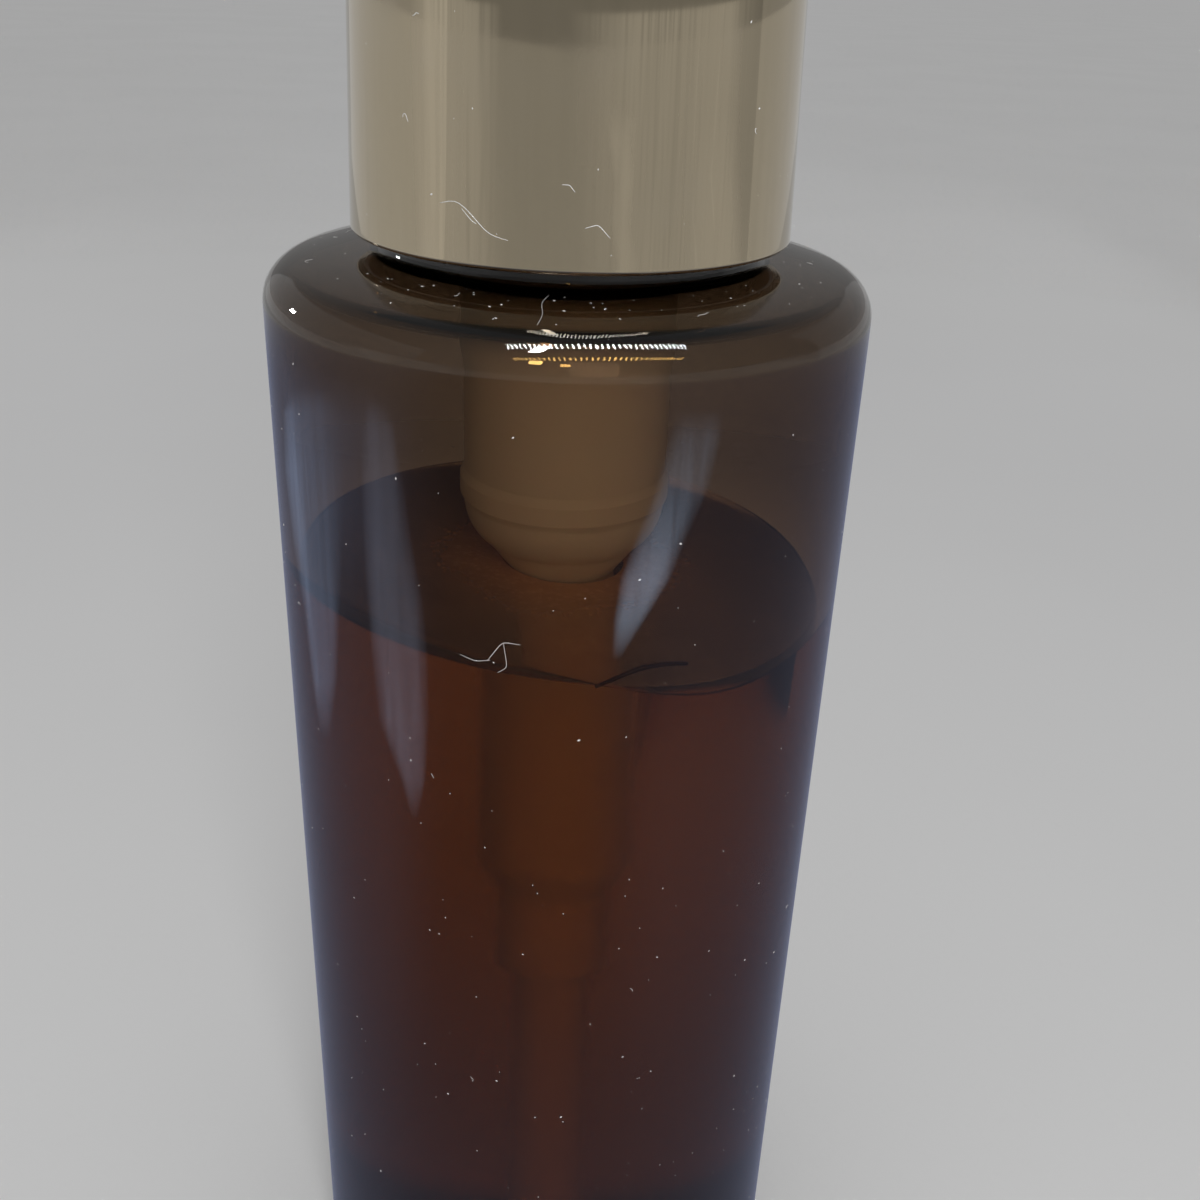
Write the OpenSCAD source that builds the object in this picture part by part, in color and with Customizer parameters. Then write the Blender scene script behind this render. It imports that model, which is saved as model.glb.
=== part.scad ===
// Foaming pump bottle: a clear round bottle with a raised boss and a threaded neck, a two-diameter
// foam pump hung in the neck by a screw collar, and a tall drafted overcap that covers the pump head.
// Millimetres. +Z is up, the origin is the middle of the ring that the bottle stands on.

/* [Bottle] */
// Outside diameter of the bottle
bottle_d = 55; // [50:1:75]
// Height of the shoulder, where it meets the boss, above the table
shoulder_z = 125.5; // [115:0.5:160]
// Thickness of the bottle's wall
bottle_wall = 1.6; // [1:0.1:2.4]
// Thickness of the bottle's base
base_t = 2.4; // [1.6:0.1:4]
// Slope of the domed shoulder at the boss, in degrees
shoulder_fall = 2; // [1:0.5:6]
// Slope of the domed shoulder where its rounded edge starts, in degrees
edge_fall = 14; // [10:1:20]
// Radius of the rounded edge between shoulder and wall
shoulder_r = 3.6; // [3:0.2:6]
// Radius of the rounded edge between wall and base
heel_r = 3.6; // [2.6:0.2:5]
// Width of the flat ring that the bottle stands on
foot_w = 2.6; // [1.5:0.1:4]
// Height that the middle of the base is pushed up
punt_h = 3; // [1.5:0.1:5]
// Height of the boss above the shoulder
boss_h = 4.5; // [3.5:0.1:6]
// How far the boss stands in from the collar's foot
boss_inset = 0.8; // [0.4:0.1:1.2]
// Radius of the hollow corner between boss and shoulder
boss_fillet = 0.9; // [0.5:0.1:1.2]
// Height of the neck above the boss
neck_h = 11; // [9:0.5:14]
// Thickness of the neck's wall
neck_wall = 1.9; // [1.4:0.1:2.6]
// Room between the pump housing and the bore of the neck
neck_clear = 1.2; // [0.6:0.1:2]
// Height of the neck's thread above its root
thread_h = 1.1; // [0.8:0.1:1.4]
// Height of the oil above the table
oil_level = 95.2; // [60:0.2:98]

/* [Pump housing] */
// Bore of the air cylinder
air_bore_d = 17.8; // [16:0.2:20]
// Wall of the pump housing
housing_wall = 0.9; // [0.7:0.1:1.3]
// Length of the air cylinder below the shoulder
air_drop = 23.9; // [21.5:0.2:30]
// Length of the funnel between the air cylinder and the liquid cylinder
funnel_h = 7.6; // [6:0.2:10]
// Radius of the bowl between the air cylinder and the funnel
bowl_r = 5; // [3:0.2:6]
// Bore of the liquid cylinder
liquid_bore_d = 7.8; // [7:0.1:9]
// Thickness of the housing's flange
flange_t = 1.4; // [1:0.1:2]
// How far the bead above the funnel stands out
bead_h = 0.4; // [0.2:0.1:0.8]
// Width of the bead above the funnel
bead_w = 3.4; // [2:0.2:4.4]
// Bore of the vent in the housing
vent_d = 1; // [0.6:0.1:1.4]
// Thickness of the neck gasket
gasket_t = 1; // [0.8:0.1:1.6]

/* [Dip tube] */
// Outside diameter of the dip tube
tube_d = 5; // [4.4:0.1:5.6]
// Wall of the dip tube
tube_wall = 0.7; // [0.5:0.1:1]
// Depth of the socket that holds the dip tube
socket_h = 9; // [6:0.5:12]
// Gap between the dip tube's tip and the base
tube_gap = 1.2; // [0.6:0.1:4]
// Angle of the cut across the dip tube's tip, in degrees
tube_cut = 35; // [20:1:45]

/* [Pump action] */
// Travel of the pump head
stroke = 12; // [8:0.5:13]
// Lift of each ball valve
ball_lift = 1; // [0.6:0.1:1.2]
// Turns of the return spring
spring_turns = 8; // [7:1:9]
// Wire diameter of the return spring
spring_wire = 0.6; // [0.5:0.05:0.7]
// Least gap left under the liquid piston for the closed spring
spring_room = 6.4; // [6.4:0.1:8]
// Wall of the hollow stem around the outlet valve
stem_wall = 0.9; // [0.7:0.1:1]
// Height of the liquid piston
liquid_piston_h = 6; // [5:0.2:8]
// Height of the air piston's skirt
air_piston_h = 7.4; // [7:0.2:9]

/* [Guide and collar] */
// Thickness of the guide's web
web_t = 1.2; // [1:0.1:1.8]
// Wall of the chimney that guides the head
chimney_wall = 1.2; // [0.9:0.1:1.6]
// Overlap of the head's skirt and the chimney
skirt_lap = 1.4; // [1:0.1:3]
// Wall of the collar around the thread
collar_wall = 2.2; // [1.6:0.1:2.6]
// Thickness of the collar's top
collar_top_t = 1.4; // [1:0.1:2]
// Thickness of the collar's foot flange
collar_foot_t = 1.6; // [1.2:0.1:2.4]
// How far the collar's foot flange stands out
collar_foot_w = 1.6; // [1.4:0.1:2.4]
// Number of grip ribs round the collar
rib_count = 40; // [24:4:60]
// How far each grip rib stands out
rib_h = 0.35; // [0.2:0.05:0.5]

/* [Pump head] */
// Wall of the head's skirt and of its inner post
head_wall = 1.1; // [0.9:0.1:1.4]
// Outside diameter of the finger pad
pad_d = 24; // [22:0.5:26]
// Bore of the spout
spout_bore = 4; // [3:0.1:4.6]
// Wall of the spout
spout_wall = 1; // [0.8:0.1:1.4]
// Gap between the spout's tip and the overcap
spout_gap = 0.7; // [0.4:0.1:3]
// Depth of the finger dish
dish_h = 1; // [0.5:0.1:1.2]
// Radius of the finger dish
dish_r = 46; // [36:1:80]
// Diameter of the foam cartridge
cartridge_d = 10.8; // [10.4:0.1:11.6]
// Length of the foam cartridge
cartridge_h = 10; // [8:0.5:11]
// Side of one opening in the foam screens
screen_hole = 0.7; // [0.5:0.1:1.2]
// Width of one bar of the foam screens
screen_bar = 0.3; // [0.2:0.05:0.4]

/* [Overcap] */
// Gap between the shoulder and the overcap's rim
rim_gap = 1.7; // [0.6:0.1:2]
// Thickness of the overcap's wall at the rim
cap_wall = 1.3; // [1:0.1:1.8]
// Draft of the overcap's outside, in degrees
cap_draft = 1.6; // [0.5:0.1:1.8]
// Thickness of the overcap's roof
cap_roof_t = 1.4; // [1:0.1:2.2]
// Radius of the edge round the overcap's roof
cap_edge_r = 1.4; // [0.8:0.1:2]
// Room above the pump head inside the overcap
cap_room = 5.2; // [4.8:0.1:9]
// Room between the collar and the bore of the overcap
cap_bore_gap = 1.1; // [0.8:0.1:1.2]

/* [Clearances] */
// Gap of pieces that slide or turn on each other
run_clear = 0.05; // [0.03:0.01:0.08]
// Gap of pieces that pass each other freely
free_clear = 0.3; // [0.2:0.05:0.35]
// Gap between the oil and the pump parts that stand in it
oil_clear = 0.1; // [0.05:0.05:0.3]

/* [Hidden] */
$fn = 96;
eps = 0.01;
sqrt2 = sqrt(2);

// radii from the pump outwards
bottle_r = bottle_d / 2;
air_bore_r = air_bore_d / 2;
housing_r = air_bore_r + housing_wall;
neck_bore_r = housing_r + neck_clear;
neck_r = neck_bore_r + neck_wall;
land_r = neck_r - 0.2;
collar_bore_r = neck_r + thread_h + 0.2;
collar_r = collar_bore_r + collar_wall;
foot_r = collar_r + collar_foot_w;
boss_r = foot_r - boss_inset;
cap_low_r = foot_r + free_clear;
cap_rim_r = cap_low_r + cap_wall;
cap_bore_r = collar_r + cap_bore_gap;
liquid_bore_r = liquid_bore_d / 2;
liquid_r = liquid_bore_r + housing_wall + 0.3;
stem_r = liquid_bore_r - 0.7;
chamber_r = stem_r - stem_wall;
ball_r = chamber_r - 0.3;
post_bore_r = cartridge_d / 2;
post_r = post_bore_r + head_wall;
chimney_bore_r = post_r + 0.8;
chimney_r = chimney_bore_r + chimney_wall;
skirt_bore_r = chimney_r + free_clear;
skirt_r = skirt_bore_r + head_wall;
web_hole_r = stem_r + 1.8;

// heights from the shoulder upwards
boss_top = shoulder_z + boss_h;
neck_top = boss_top + neck_h;
flange_z = neck_top + gasket_t;
web_z = flange_z + flange_t;
web_top = web_z + web_t;
collar_foot_z = boss_top + free_clear;
collar_foot_top = collar_foot_z + collar_foot_t;
collar_top_z = web_top + run_clear;
collar_top = collar_top_z + collar_top_t;
skirt_z = collar_top + stroke + 0.6;
chimney_top = skirt_z + skirt_lap;
ceiling_z = chimney_top + stroke + 0.5;
post_z = web_top + stroke + 0.5;
spout_floor = ceiling_z + head_wall;
spout_z = spout_floor + spout_bore / 2;
head_top = spout_floor + spout_bore + spout_wall + dish_h;
cap_rim_z = shoulder_z + rim_gap;
cap_ledge_z = collar_foot_top + run_clear;
cap_roof_z = head_top + cap_room;
cap_top = cap_roof_z + cap_roof_t;
cap_top_r = cap_rim_r - (cap_top - cap_rim_z) * tan(cap_draft);
cap_bore_top_r = cap_bore_r - (cap_roof_z - cap_ledge_z) * tan(cap_draft) / 2;
spout_reach = cap_bore_top_r - spout_gap;

// heights from the shoulder downwards
funnel_z = shoulder_z - air_drop;
liquid_z = funnel_z - funnel_h;
piston_top_z = liquid_z - 2;
piston_z = piston_top_z - liquid_piston_h;
cage_top_z = piston_z - stroke - spring_room;
cage_t = 1.6;
cage_z = cage_top_z - cage_t;
seat_hole_r = 1.2;
// a ball that sits in a 90 degree cone stands its radius times the root of 2 above the apex
inlet_ball_z = cage_z - ball_lift - run_clear - ball_r;
inlet_seat_z = inlet_ball_z - ball_r * sqrt2 + seat_hole_r - run_clear / 2;
tube_top = inlet_seat_z - 1;
socket_z = tube_top - socket_h;
tube_r = tube_d / 2;
socket_r = tube_r + housing_wall + 0.3;
bowl_turn = 55;
base_in_z = punt_h + base_t;
tube_z = base_in_z + tube_gap;

// the stem, its outlet valve and what sits on it
air_piston_top = web_z - run_clear;
hub_top = air_piston_top - 1.4;
hub_z = hub_top - 4.6;
stem_bore_r = 1.5;
mix_z = post_z + 1.4;
stem_top = mix_z;
outlet_ball_z = stem_top - ball_lift - run_clear - ball_r;
outlet_seat_z = outlet_ball_z - ball_r * sqrt2 + stem_bore_r - run_clear / 2;
mix_top = mix_z + 1.5;
screen_t = 0.2;
cartridge_z = mix_top + screen_t;
cartridge_top = cartridge_z + cartridge_h;

amber = [0.36, 0.17, 0.05];
oil_brown = [0.42, 0.16, 0.03];
champagne = [0.66, 0.58, 0.40];
ivory = [0.93, 0.90, 0.82];
natural = [0.90, 0.90, 0.86];

// points along an arc about c, of radius r, from angle a to angle b
function arc(c, r, a, b, n = 10) =
    [for (i = [0 : n]) c + r * [cos(a + (b - a) * i / n), sin(a + (b - a) * i / n)]];

module turned(points) {
    rotate_extrude() polygon(points);
}

module tube_ring(r_out, r_in, z0, z1) {
    translate([0, 0, z0]) difference() {
        cylinder(r = r_out, h = z1 - z0);
        translate([0, 0, -1]) cylinder(r = r_in, h = z1 - z0 + 2);
    }
}

// ---- bottle ----

foot_out_r = bottle_r - heel_r;
foot_in_r = foot_out_r - foot_w;
punt_edge = 1.2;
flare = 2.2;

// domed shoulder and its rounded edge, t inside the outside face, from the wall up to the boss.
// Both arcs have the slope edge_fall where they meet.
dome_edge_r = bottle_r - shoulder_r * (1 - sin(edge_fall));
dome_foot_r = boss_r + boss_fillet * (1 - sin(shoulder_fall));
dome_r = (dome_edge_r - dome_foot_r) / (sin(edge_fall) - sin(shoulder_fall));
dome_c = [dome_foot_r - dome_r * sin(shoulder_fall), shoulder_z - dome_r * cos(shoulder_fall)];
edge_c = [bottle_r - shoulder_r, dome_c[1] + (dome_r - shoulder_r) * cos(edge_fall)];
function shoulder_edge(t) = arc(edge_c, shoulder_r - t, 0, 90 - edge_fall, 8);
function shoulder_dome(t, r_in) =
    arc(dome_c, dome_r - t, 90 - edge_fall, acos((r_in - dome_c[0]) / (dome_r - t)), 5);

module bottle_outline() {
    inner_r = bottle_r - bottle_wall;
    polygon(concat(
        [[0, punt_h], [foot_in_r - punt_edge, punt_h * 0.7], [foot_in_r, 0]],
        [[foot_out_r, 0]],
        arc([foot_out_r, heel_r], heel_r, -90, 0, 8),
        shoulder_edge(0),
        [for (i = [1 : 5]) shoulder_dome(0, dome_foot_r)[i]],
        arc([boss_r + boss_fillet, shoulder_z + boss_fillet * cos(shoulder_fall)], boss_fillet,
            -90 - shoulder_fall, -180, 4),
        [[boss_r, boss_top - 0.5], [boss_r - 0.5, boss_top],
         [neck_r, boss_top], [neck_r, neck_top - 0.3], [neck_r - 0.3, neck_top],
         [neck_bore_r, neck_top], [neck_bore_r, shoulder_z + 0.9]],
        [for (i = [5 : -1 : 1]) shoulder_dome(bottle_wall, neck_bore_r + flare)[i]],
        [for (i = [8 : -1 : 0]) shoulder_edge(bottle_wall)[i]],
        [for (p = arc([foot_out_r, base_t + heel_r - bottle_wall], heel_r - bottle_wall, 0, -90, 6)) p],
        [[foot_in_r - punt_edge, punt_h * 0.7 + base_t], [0, base_in_z]]));
}

module bottle() {
    color(amber) rotate_extrude() bottle_outline();
}

// space inside the bottle below the oil's surface
module oil_outline() {
    inner_r = bottle_r - bottle_wall;
    polygon(concat(
        [[0, base_in_z], [foot_in_r - punt_edge, punt_h * 0.7 + base_t]],
        arc([foot_out_r, base_t + heel_r - bottle_wall], heel_r - bottle_wall, -90, 0, 6),
        [[inner_r, oil_level], [0, oil_level]]));
}

module oil() {
    color(oil_brown) difference() {
        rotate_extrude() oil_outline();
        oil_cutter();
    }
}

// room for the housing and the dip tube, open straight up
module oil_cutter() {
    g = oil_clear;
    top = max(oil_level, funnel_z) + 1;
    turned(concat([[0, tube_z - g], [tube_r + g, tube_z - g]], housing_outside(g),
        [[housing_r + g, top], [0, top]]));
}

// ---- pump housing and what stays in it ----

// outside of the housing from the socket up to the bowl's rim, g larger all round
function housing_outside(g) = concat(
    [[tube_r + g, socket_z - g], [socket_r + g, socket_z - g], [socket_r + g, inlet_seat_z - g],
     [liquid_r + g, cage_z - 1 - g], [liquid_r + g, liquid_z - g]],
    arc([housing_r - bowl_r, funnel_z], bowl_r + g, -bowl_turn, 0, 6));

module pump_housing() {
    color(natural) difference() {
        turned(concat([[0, socket_z]], housing_outside(0),
            [[housing_r + bead_h, funnel_z + 0.8], [housing_r + bead_h, funnel_z + bead_w - 0.8],
             [housing_r, funnel_z + bead_w], [housing_r, flange_z], [land_r, flange_z], [land_r, web_z],
             [0, web_z]]));
        turned(concat([[0, tube_top], [seat_hole_r, tube_top], [seat_hole_r, inlet_seat_z],
            [chamber_r, inlet_seat_z + chamber_r - seat_hole_r], [chamber_r, cage_z],
            [liquid_bore_r, cage_z], [liquid_bore_r, liquid_z + 0.6]],
            arc([housing_r - bowl_r, funnel_z], bowl_r - housing_wall, -bowl_turn, 0, 6),
            [[air_bore_r, web_z + 1], [0, web_z + 1]]));
        translate([0, 0, socket_z - 1]) cylinder(r = tube_r, h = socket_h + 1);
        translate([0, 0, tube_top - eps]) cylinder(r = seat_hole_r, h = 1);
        translate([0, 0, flange_z - 2.4]) rotate([90, 0, 0]) cylinder(d = vent_d, h = housing_r + 1);
    }
}

module inlet_ball() {
    color("silver") translate([0, 0, inlet_ball_z]) sphere(r = ball_r);
}

// slotted disc over the inlet ball, which is also the spring's seat
module ball_cage() {
    hole_r = 0.7;
    color(natural) translate([0, 0, cage_z]) difference() {
        cylinder(r = liquid_bore_r, h = cage_t);
        for (i = [0 : 3]) rotate(i * 90) translate([1.9, 0, -1]) cylinder(r = hole_r, h = cage_t + 2, $fn = 32);
    }
}

// centre line of the spring: closed end turns and an even pitch between them
spring_r = liquid_bore_r - 0.35 - spring_wire / 2;
spring_low = cage_top_z + spring_wire / 2;
spring_high = piston_z - spring_wire / 2;
spring_pitch = (spring_high - spring_low - 2 * spring_wire) / (spring_turns - 2);
function spring_height(t) =
    t < 1 ? spring_low + spring_wire * t
    : t > spring_turns - 1 ? spring_high - spring_wire * (spring_turns - t)
    : spring_low + spring_wire + spring_pitch * (t - 1);
spring_steps = 20;
spring_sides = 8;

module return_spring() {
    steps = spring_turns * spring_steps;
    rows = [for (i = [0 : steps])
        let (t = i / spring_steps, a = 360 * t, h = spring_height(t))
        for (k = [0 : spring_sides - 1])
            let (b = 360 * k / spring_sides, r = spring_r + spring_wire / 2 * cos(b))
            [r * cos(a), r * sin(a), h + spring_wire / 2 * sin(b)]];
    sides = [for (i = [0 : steps - 1], k = [0 : spring_sides - 1])
        let (a = i * spring_sides + k, b = i * spring_sides + (k + 1) % spring_sides)
        [b, b + spring_sides, a + spring_sides, a]];
    first = [for (k = [spring_sides - 1 : -1 : 0]) k];
    last = [for (k = [0 : spring_sides - 1]) steps * spring_sides + k];
    color("silver") polyhedron(rows, concat(sides, [first, last]), convexity = 10);
}

module dip_tube() {
    color(natural) difference() {
        tube_ring(tube_r, tube_r - tube_wall, tube_z, tube_top);
        translate([-tube_r, 0, tube_z]) rotate([0, -tube_cut, 0])
            translate([-tube_d, -tube_d, -2 * tube_d]) cube([4 * tube_d, 2 * tube_d, 2 * tube_d]);
    }
}

module neck_gasket() {
    color("white") tube_ring(land_r, housing_r + run_clear, neck_top, flange_z);
}

// ---- guide and collar ----

module guide_tube() {
    color(ivory) turned([[web_hole_r, web_z], [land_r, web_z], [land_r, web_top],
        [chimney_r, web_top], [chimney_r, chimney_top - 0.3], [chimney_r - 0.3, chimney_top],
        [chimney_bore_r, chimney_top], [chimney_bore_r, web_top], [web_hole_r, web_top]]);
}

module collar() {
    rib_r = 0.6;
    color(ivory) {
        turned([[collar_bore_r, collar_foot_z], [foot_r, collar_foot_z], [foot_r, collar_foot_top],
            [collar_r, collar_foot_top], [collar_r, collar_top - 1], [collar_r - 1, collar_top],
            [chimney_r + 0.2, collar_top], [chimney_r + 0.2, collar_top_z],
            [collar_bore_r, collar_top_z]]);
        for (i = [0 : rib_count - 1]) rotate(360 * i / rib_count)
            translate([collar_r - rib_r + rib_h, 0, collar_foot_top - eps])
                cylinder(r = rib_r, h = collar_top - collar_foot_top - 1.6, $fn = 24);
    }
}

// ---- moving pistons ----

module air_piston() {
    web_low = hub_z + 1;
    lip_r = air_bore_r - run_clear;
    hub_r = stem_r + run_clear;
    low = air_piston_top - air_piston_h;
    hole_r = 0.5;
    color(ivory) difference() {
        turned([[hub_r, hub_z], [hub_r + 1.2, hub_z], [hub_r + 1.2, web_low],
            [lip_r - 1.5, web_low], [lip_r - 0.7, low], [lip_r, low], [lip_r, low + 1.2],
            [lip_r - 0.4, low + 2.2], [lip_r - 0.4, air_piston_top - 2.2], [lip_r, air_piston_top - 1.2],
            [lip_r, air_piston_top], [lip_r - 0.7, air_piston_top], [lip_r - 1.5, web_low + 1.1],
            [hub_r + 1.2, web_low + 1.1], [hub_r + 1.2, hub_top], [hub_r, hub_top]]);
        for (i = [0 : 5]) rotate(60 * i) translate([hub_r + 2.2, 0, web_low - 1])
            cylinder(r = hole_r, h = 4, $fn = 24);
    }
}

// soft ring that closes the air holes from below
module air_valve() {
    web_low = hub_z + 1;
    hub_r = stem_r + run_clear + 1.2;
    color("white") turned([[hub_r, web_low - 0.9], [hub_r + 0.7, web_low - 0.9],
        [hub_r + 2.2, web_low - 0.3], [hub_r + 2.2, web_low], [hub_r, web_low]]);
}

module piston_stem() {
    tip_r = stem_r - 0.8;
    tip_z = piston_z - 0.6;
    bead = stem_r + 0.35;
    color(ivory) difference() {
        turned([[0, tip_z], [tip_r + 0.5, tip_z], [tip_r + 0.5, piston_z], [tip_r, piston_z],
            [tip_r, piston_top_z], [stem_r, piston_top_z], [stem_r, hub_z - 0.9], [bead, hub_z - 0.6],
            [bead, hub_z - run_clear], [stem_r, hub_z - run_clear], [stem_r, hub_top + run_clear],
            [stem_r + 1.2, hub_top + run_clear], [stem_r + 1.2, hub_top + 1], [stem_r, hub_top + 1],
            [stem_r, stem_top], [0, stem_top]]);
        turned([[0, tip_z - 1], [stem_bore_r, tip_z - 1], [stem_bore_r, outlet_seat_z],
            [chamber_r, outlet_seat_z + chamber_r - stem_bore_r], [chamber_r, stem_top + 1],
            [0, stem_top + 1]]);
    }
}

// two-lipped seal on the stem's lower end
module liquid_piston() {
    tip_r = stem_r - 0.8;
    lip_r = liquid_bore_r - run_clear;
    color(natural) turned([[tip_r, piston_z], [tip_r + 0.6, piston_z], [lip_r - 0.5, piston_z],
        [lip_r, piston_z + 0.4], [lip_r, piston_z + 1.2], [tip_r + 0.8, piston_z + 2],
        [tip_r + 0.8, piston_top_z - 2], [lip_r, piston_top_z - 1.2], [lip_r, piston_top_z - 0.4],
        [lip_r - 0.4, piston_top_z], [tip_r, piston_top_z]]);
}

module outlet_ball() {
    color("silver") translate([0, 0, outlet_ball_z]) sphere(r = ball_r);
}

// disc that joins the stem to the head, keeps the outlet ball in and lets air in round the liquid
module mixing_cap() {
    sleeve_r = stem_r + 1;
    color(ivory) difference() {
        turned([[stem_r, mix_z - 3.4], [sleeve_r, mix_z - 3.4], [sleeve_r, mix_z],
            [post_bore_r, mix_z], [post_bore_r, mix_top], [0, mix_top], [0, mix_z], [stem_r, mix_z]]);
        translate([0, 0, mix_z - 1]) for (i = [0 : 3]) rotate(90 * i)
            translate([1.2, 0, 0]) cylinder(r = 0.5, h = 4, $fn = 24);
        translate([0, 0, mix_z - 1]) for (i = [0 : 7]) rotate(45 * i)
            translate([post_bore_r - 0.9, 0, 0]) cylinder(r = 0.45, h = 4, $fn = 24);
    }
}

// ---- foam cartridge ----

module foam_cartridge() {
    wall = 0.8;
    color(natural) tube_ring(post_bore_r, post_bore_r - wall, cartridge_z, cartridge_top);
}

// round screen of square openings
module screen(z) {
    pitch = screen_hole + screen_bar;
    reach = post_bore_r - 1;
    n = floor(reach / pitch);
    translate([0, 0, z]) linear_extrude(height = screen_t) difference() {
        circle(r = post_bore_r);
        for (i = [-n : n], j = [-n : n])
            if (norm([abs(i) + 0.5, abs(j) + 0.5]) * pitch < reach)
                translate([i * pitch, j * pitch]) square(screen_hole, center = true);
    }
}

module lower_screen() {
    color("gainsboro") screen(mix_top);
}

module upper_screen() {
    color("gainsboro") screen(cartridge_top);
}

// ---- pump head ----

module actuator() {
    pad_r = pad_d / 2;
    spout_r = spout_bore / 2 + spout_wall;
    pad_low = spout_z - spout_r + 1.6;
    edge = 1.6;
    roof = head_top - dish_h - head_wall;
    color(ivory) difference() {
        union() {
            difference() {
                turned(concat([[0, skirt_z], [skirt_r, skirt_z], [skirt_r, ceiling_z - 3],
                    [pad_r, pad_low]], arc([pad_r - edge, head_top - edge], edge, 0, 90, 6),
                    [[0, head_top]]));
                turned([[0, skirt_z - 1], [skirt_bore_r, skirt_z - 1], [skirt_bore_r, ceiling_z - 2.6],
                    [pad_r - head_wall, pad_low + 0.4], [pad_r - head_wall, roof - 1],
                    [pad_r - head_wall - 1, roof], [0, roof]]);
            }
            tube_ring(post_r, 1, post_z, head_top - dish_h - 0.2);
            translate([0, 0, spout_z]) rotate([0, 90, 0]) cylinder(r = spout_r, h = spout_reach);
        }
        translate([0, 0, post_z - 1]) cylinder(r = post_bore_r, h = cartridge_top + screen_t - post_z + 1);
        translate([0, 0, cartridge_top]) cylinder(r = spout_bore / 2 + 1, h = spout_z - cartridge_top);
        translate([0, 0, spout_z]) rotate([0, 90, 0]) cylinder(r = spout_bore / 2, h = spout_reach + 1);
        translate([0, 0, head_top + dish_r - dish_h]) sphere(r = dish_r, $fn = 180);
    }
}

// ---- overcap ----

module overcap() {
    lip = 0.3;
    top_c = [cap_top_r - cap_edge_r, cap_top - cap_edge_r];
    color(champagne) turned(concat(
        [[cap_low_r, cap_rim_z], [cap_rim_r - lip, cap_rim_z], [cap_rim_r, cap_rim_z + lip]],
        arc(top_c, cap_edge_r, 0, 90, 8),
        [[0, cap_top], [0, cap_roof_z], [cap_bore_top_r - 0.8, cap_roof_z],
         [cap_bore_top_r, cap_roof_z - 0.8], [cap_bore_r, cap_ledge_z], [cap_low_r, cap_ledge_z]]));
}

bottle();
oil();
neck_gasket();
pump_housing();
inlet_ball();
ball_cage();
return_spring();
dip_tube();
guide_tube();
collar();
air_piston();
air_valve();
liquid_piston();
piston_stem();
outlet_ball();
mixing_cap();
foam_cartridge();
lower_screen();
upper_screen();
actuator();
overcap();
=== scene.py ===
"""Looks of a foaming pump bottle: clear amber bottle, oil, foam pump and champagne overcap.

Everything is in metres in the CAD model's frame: +Z up, the origin in the middle of the ring that the
bottle stands on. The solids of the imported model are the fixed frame. Most pieces made here are surfaces
turned about the Z axis from an outline, with threads, ribs, menisci and waves added as functions of
radius, height and angle.
"""

import math

import bpy
import numpy as np
from bpy.props import FloatProperty, FloatVectorProperty, IntProperty, PointerProperty
from bpy.types import Operator, Panel, PropertyGroup
from mathutils import Matrix, Vector


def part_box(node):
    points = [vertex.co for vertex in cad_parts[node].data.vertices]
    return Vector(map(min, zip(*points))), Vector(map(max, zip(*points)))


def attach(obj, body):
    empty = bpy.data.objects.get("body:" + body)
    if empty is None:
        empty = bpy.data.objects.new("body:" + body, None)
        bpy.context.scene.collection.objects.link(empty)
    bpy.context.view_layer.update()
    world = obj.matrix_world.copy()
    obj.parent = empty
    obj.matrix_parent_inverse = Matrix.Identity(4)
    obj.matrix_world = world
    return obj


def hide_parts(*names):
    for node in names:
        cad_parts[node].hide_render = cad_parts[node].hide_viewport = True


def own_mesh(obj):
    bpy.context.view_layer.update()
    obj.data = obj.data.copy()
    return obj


bl_info = {
    "name": "Foaming pump bottle",
    "version": (1, 0, 0),
    "blender": (4, 5, 0),
    "location": "3D View > Sidebar > Pump bottle",
    "description": "Builds the surfaces, finishes, lights and camera of a foaming pump bottle",
    "category": "Add Mesh",
}

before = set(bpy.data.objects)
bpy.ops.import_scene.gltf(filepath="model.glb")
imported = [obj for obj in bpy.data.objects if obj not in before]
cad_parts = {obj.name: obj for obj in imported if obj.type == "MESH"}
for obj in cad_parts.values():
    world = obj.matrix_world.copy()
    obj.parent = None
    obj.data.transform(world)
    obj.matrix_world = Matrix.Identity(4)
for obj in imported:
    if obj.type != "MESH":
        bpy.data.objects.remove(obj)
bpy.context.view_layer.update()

MM = 0.001
TURN = 2 * math.pi


def reach(node):
    """Radius, lowest and highest point of a CAD node that is round about the Z axis."""
    low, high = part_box(node)
    return max(high[0], high[1]), low[2], high[2]


BOTTLE_R, _, NECK_TOP = reach("bottle")
_, _, OIL_TOP = reach("oil")
CAP_RIM_R, CAP_RIM_Z, CAP_TOP = reach("overcap")
LAND_R, SOCKET_Z, WEB_Z = reach("pump_housing")
TUBE_R, TUBE_Z, TUBE_TOP = reach("dip_tube")
COLLAR_FOOT_R, COLLAR_FOOT_Z, COLLAR_TOP = reach("collar")
_, _, FLANGE_Z = reach("neck_gasket")
_, _, CHIMNEY_TOP = reach("guide_tube")
SPOUT_REACH, POST_Z, HEAD_TOP = reach("actuator")
CYLINDER_BORE_R, CAGE_Z, _ = reach("ball_cage")


# ---------------------------------------------------------------- sizes and colours


def length(name, description, default, low=0.0, high=1.0):
    """A length in metres that the sidebar shows."""
    return FloatProperty(name=name, description=description, default=default, min=low, max=high,
                         subtype="DISTANCE", unit="LENGTH", precision=5)


def angle(name, description, degrees, low=0.0, high=90.0):
    """An angle that the sidebar shows in degrees."""
    return FloatProperty(name=name, description=description, default=math.radians(degrees),
                         min=math.radians(low), max=math.radians(high), subtype="ANGLE", unit="ROTATION")


def colour(name, description, default):
    """A linear colour that the sidebar shows."""
    return FloatVectorProperty(name=name, description=description, default=default, size=3,
                               subtype="COLOR", min=0.0, max=1.0)


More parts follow.
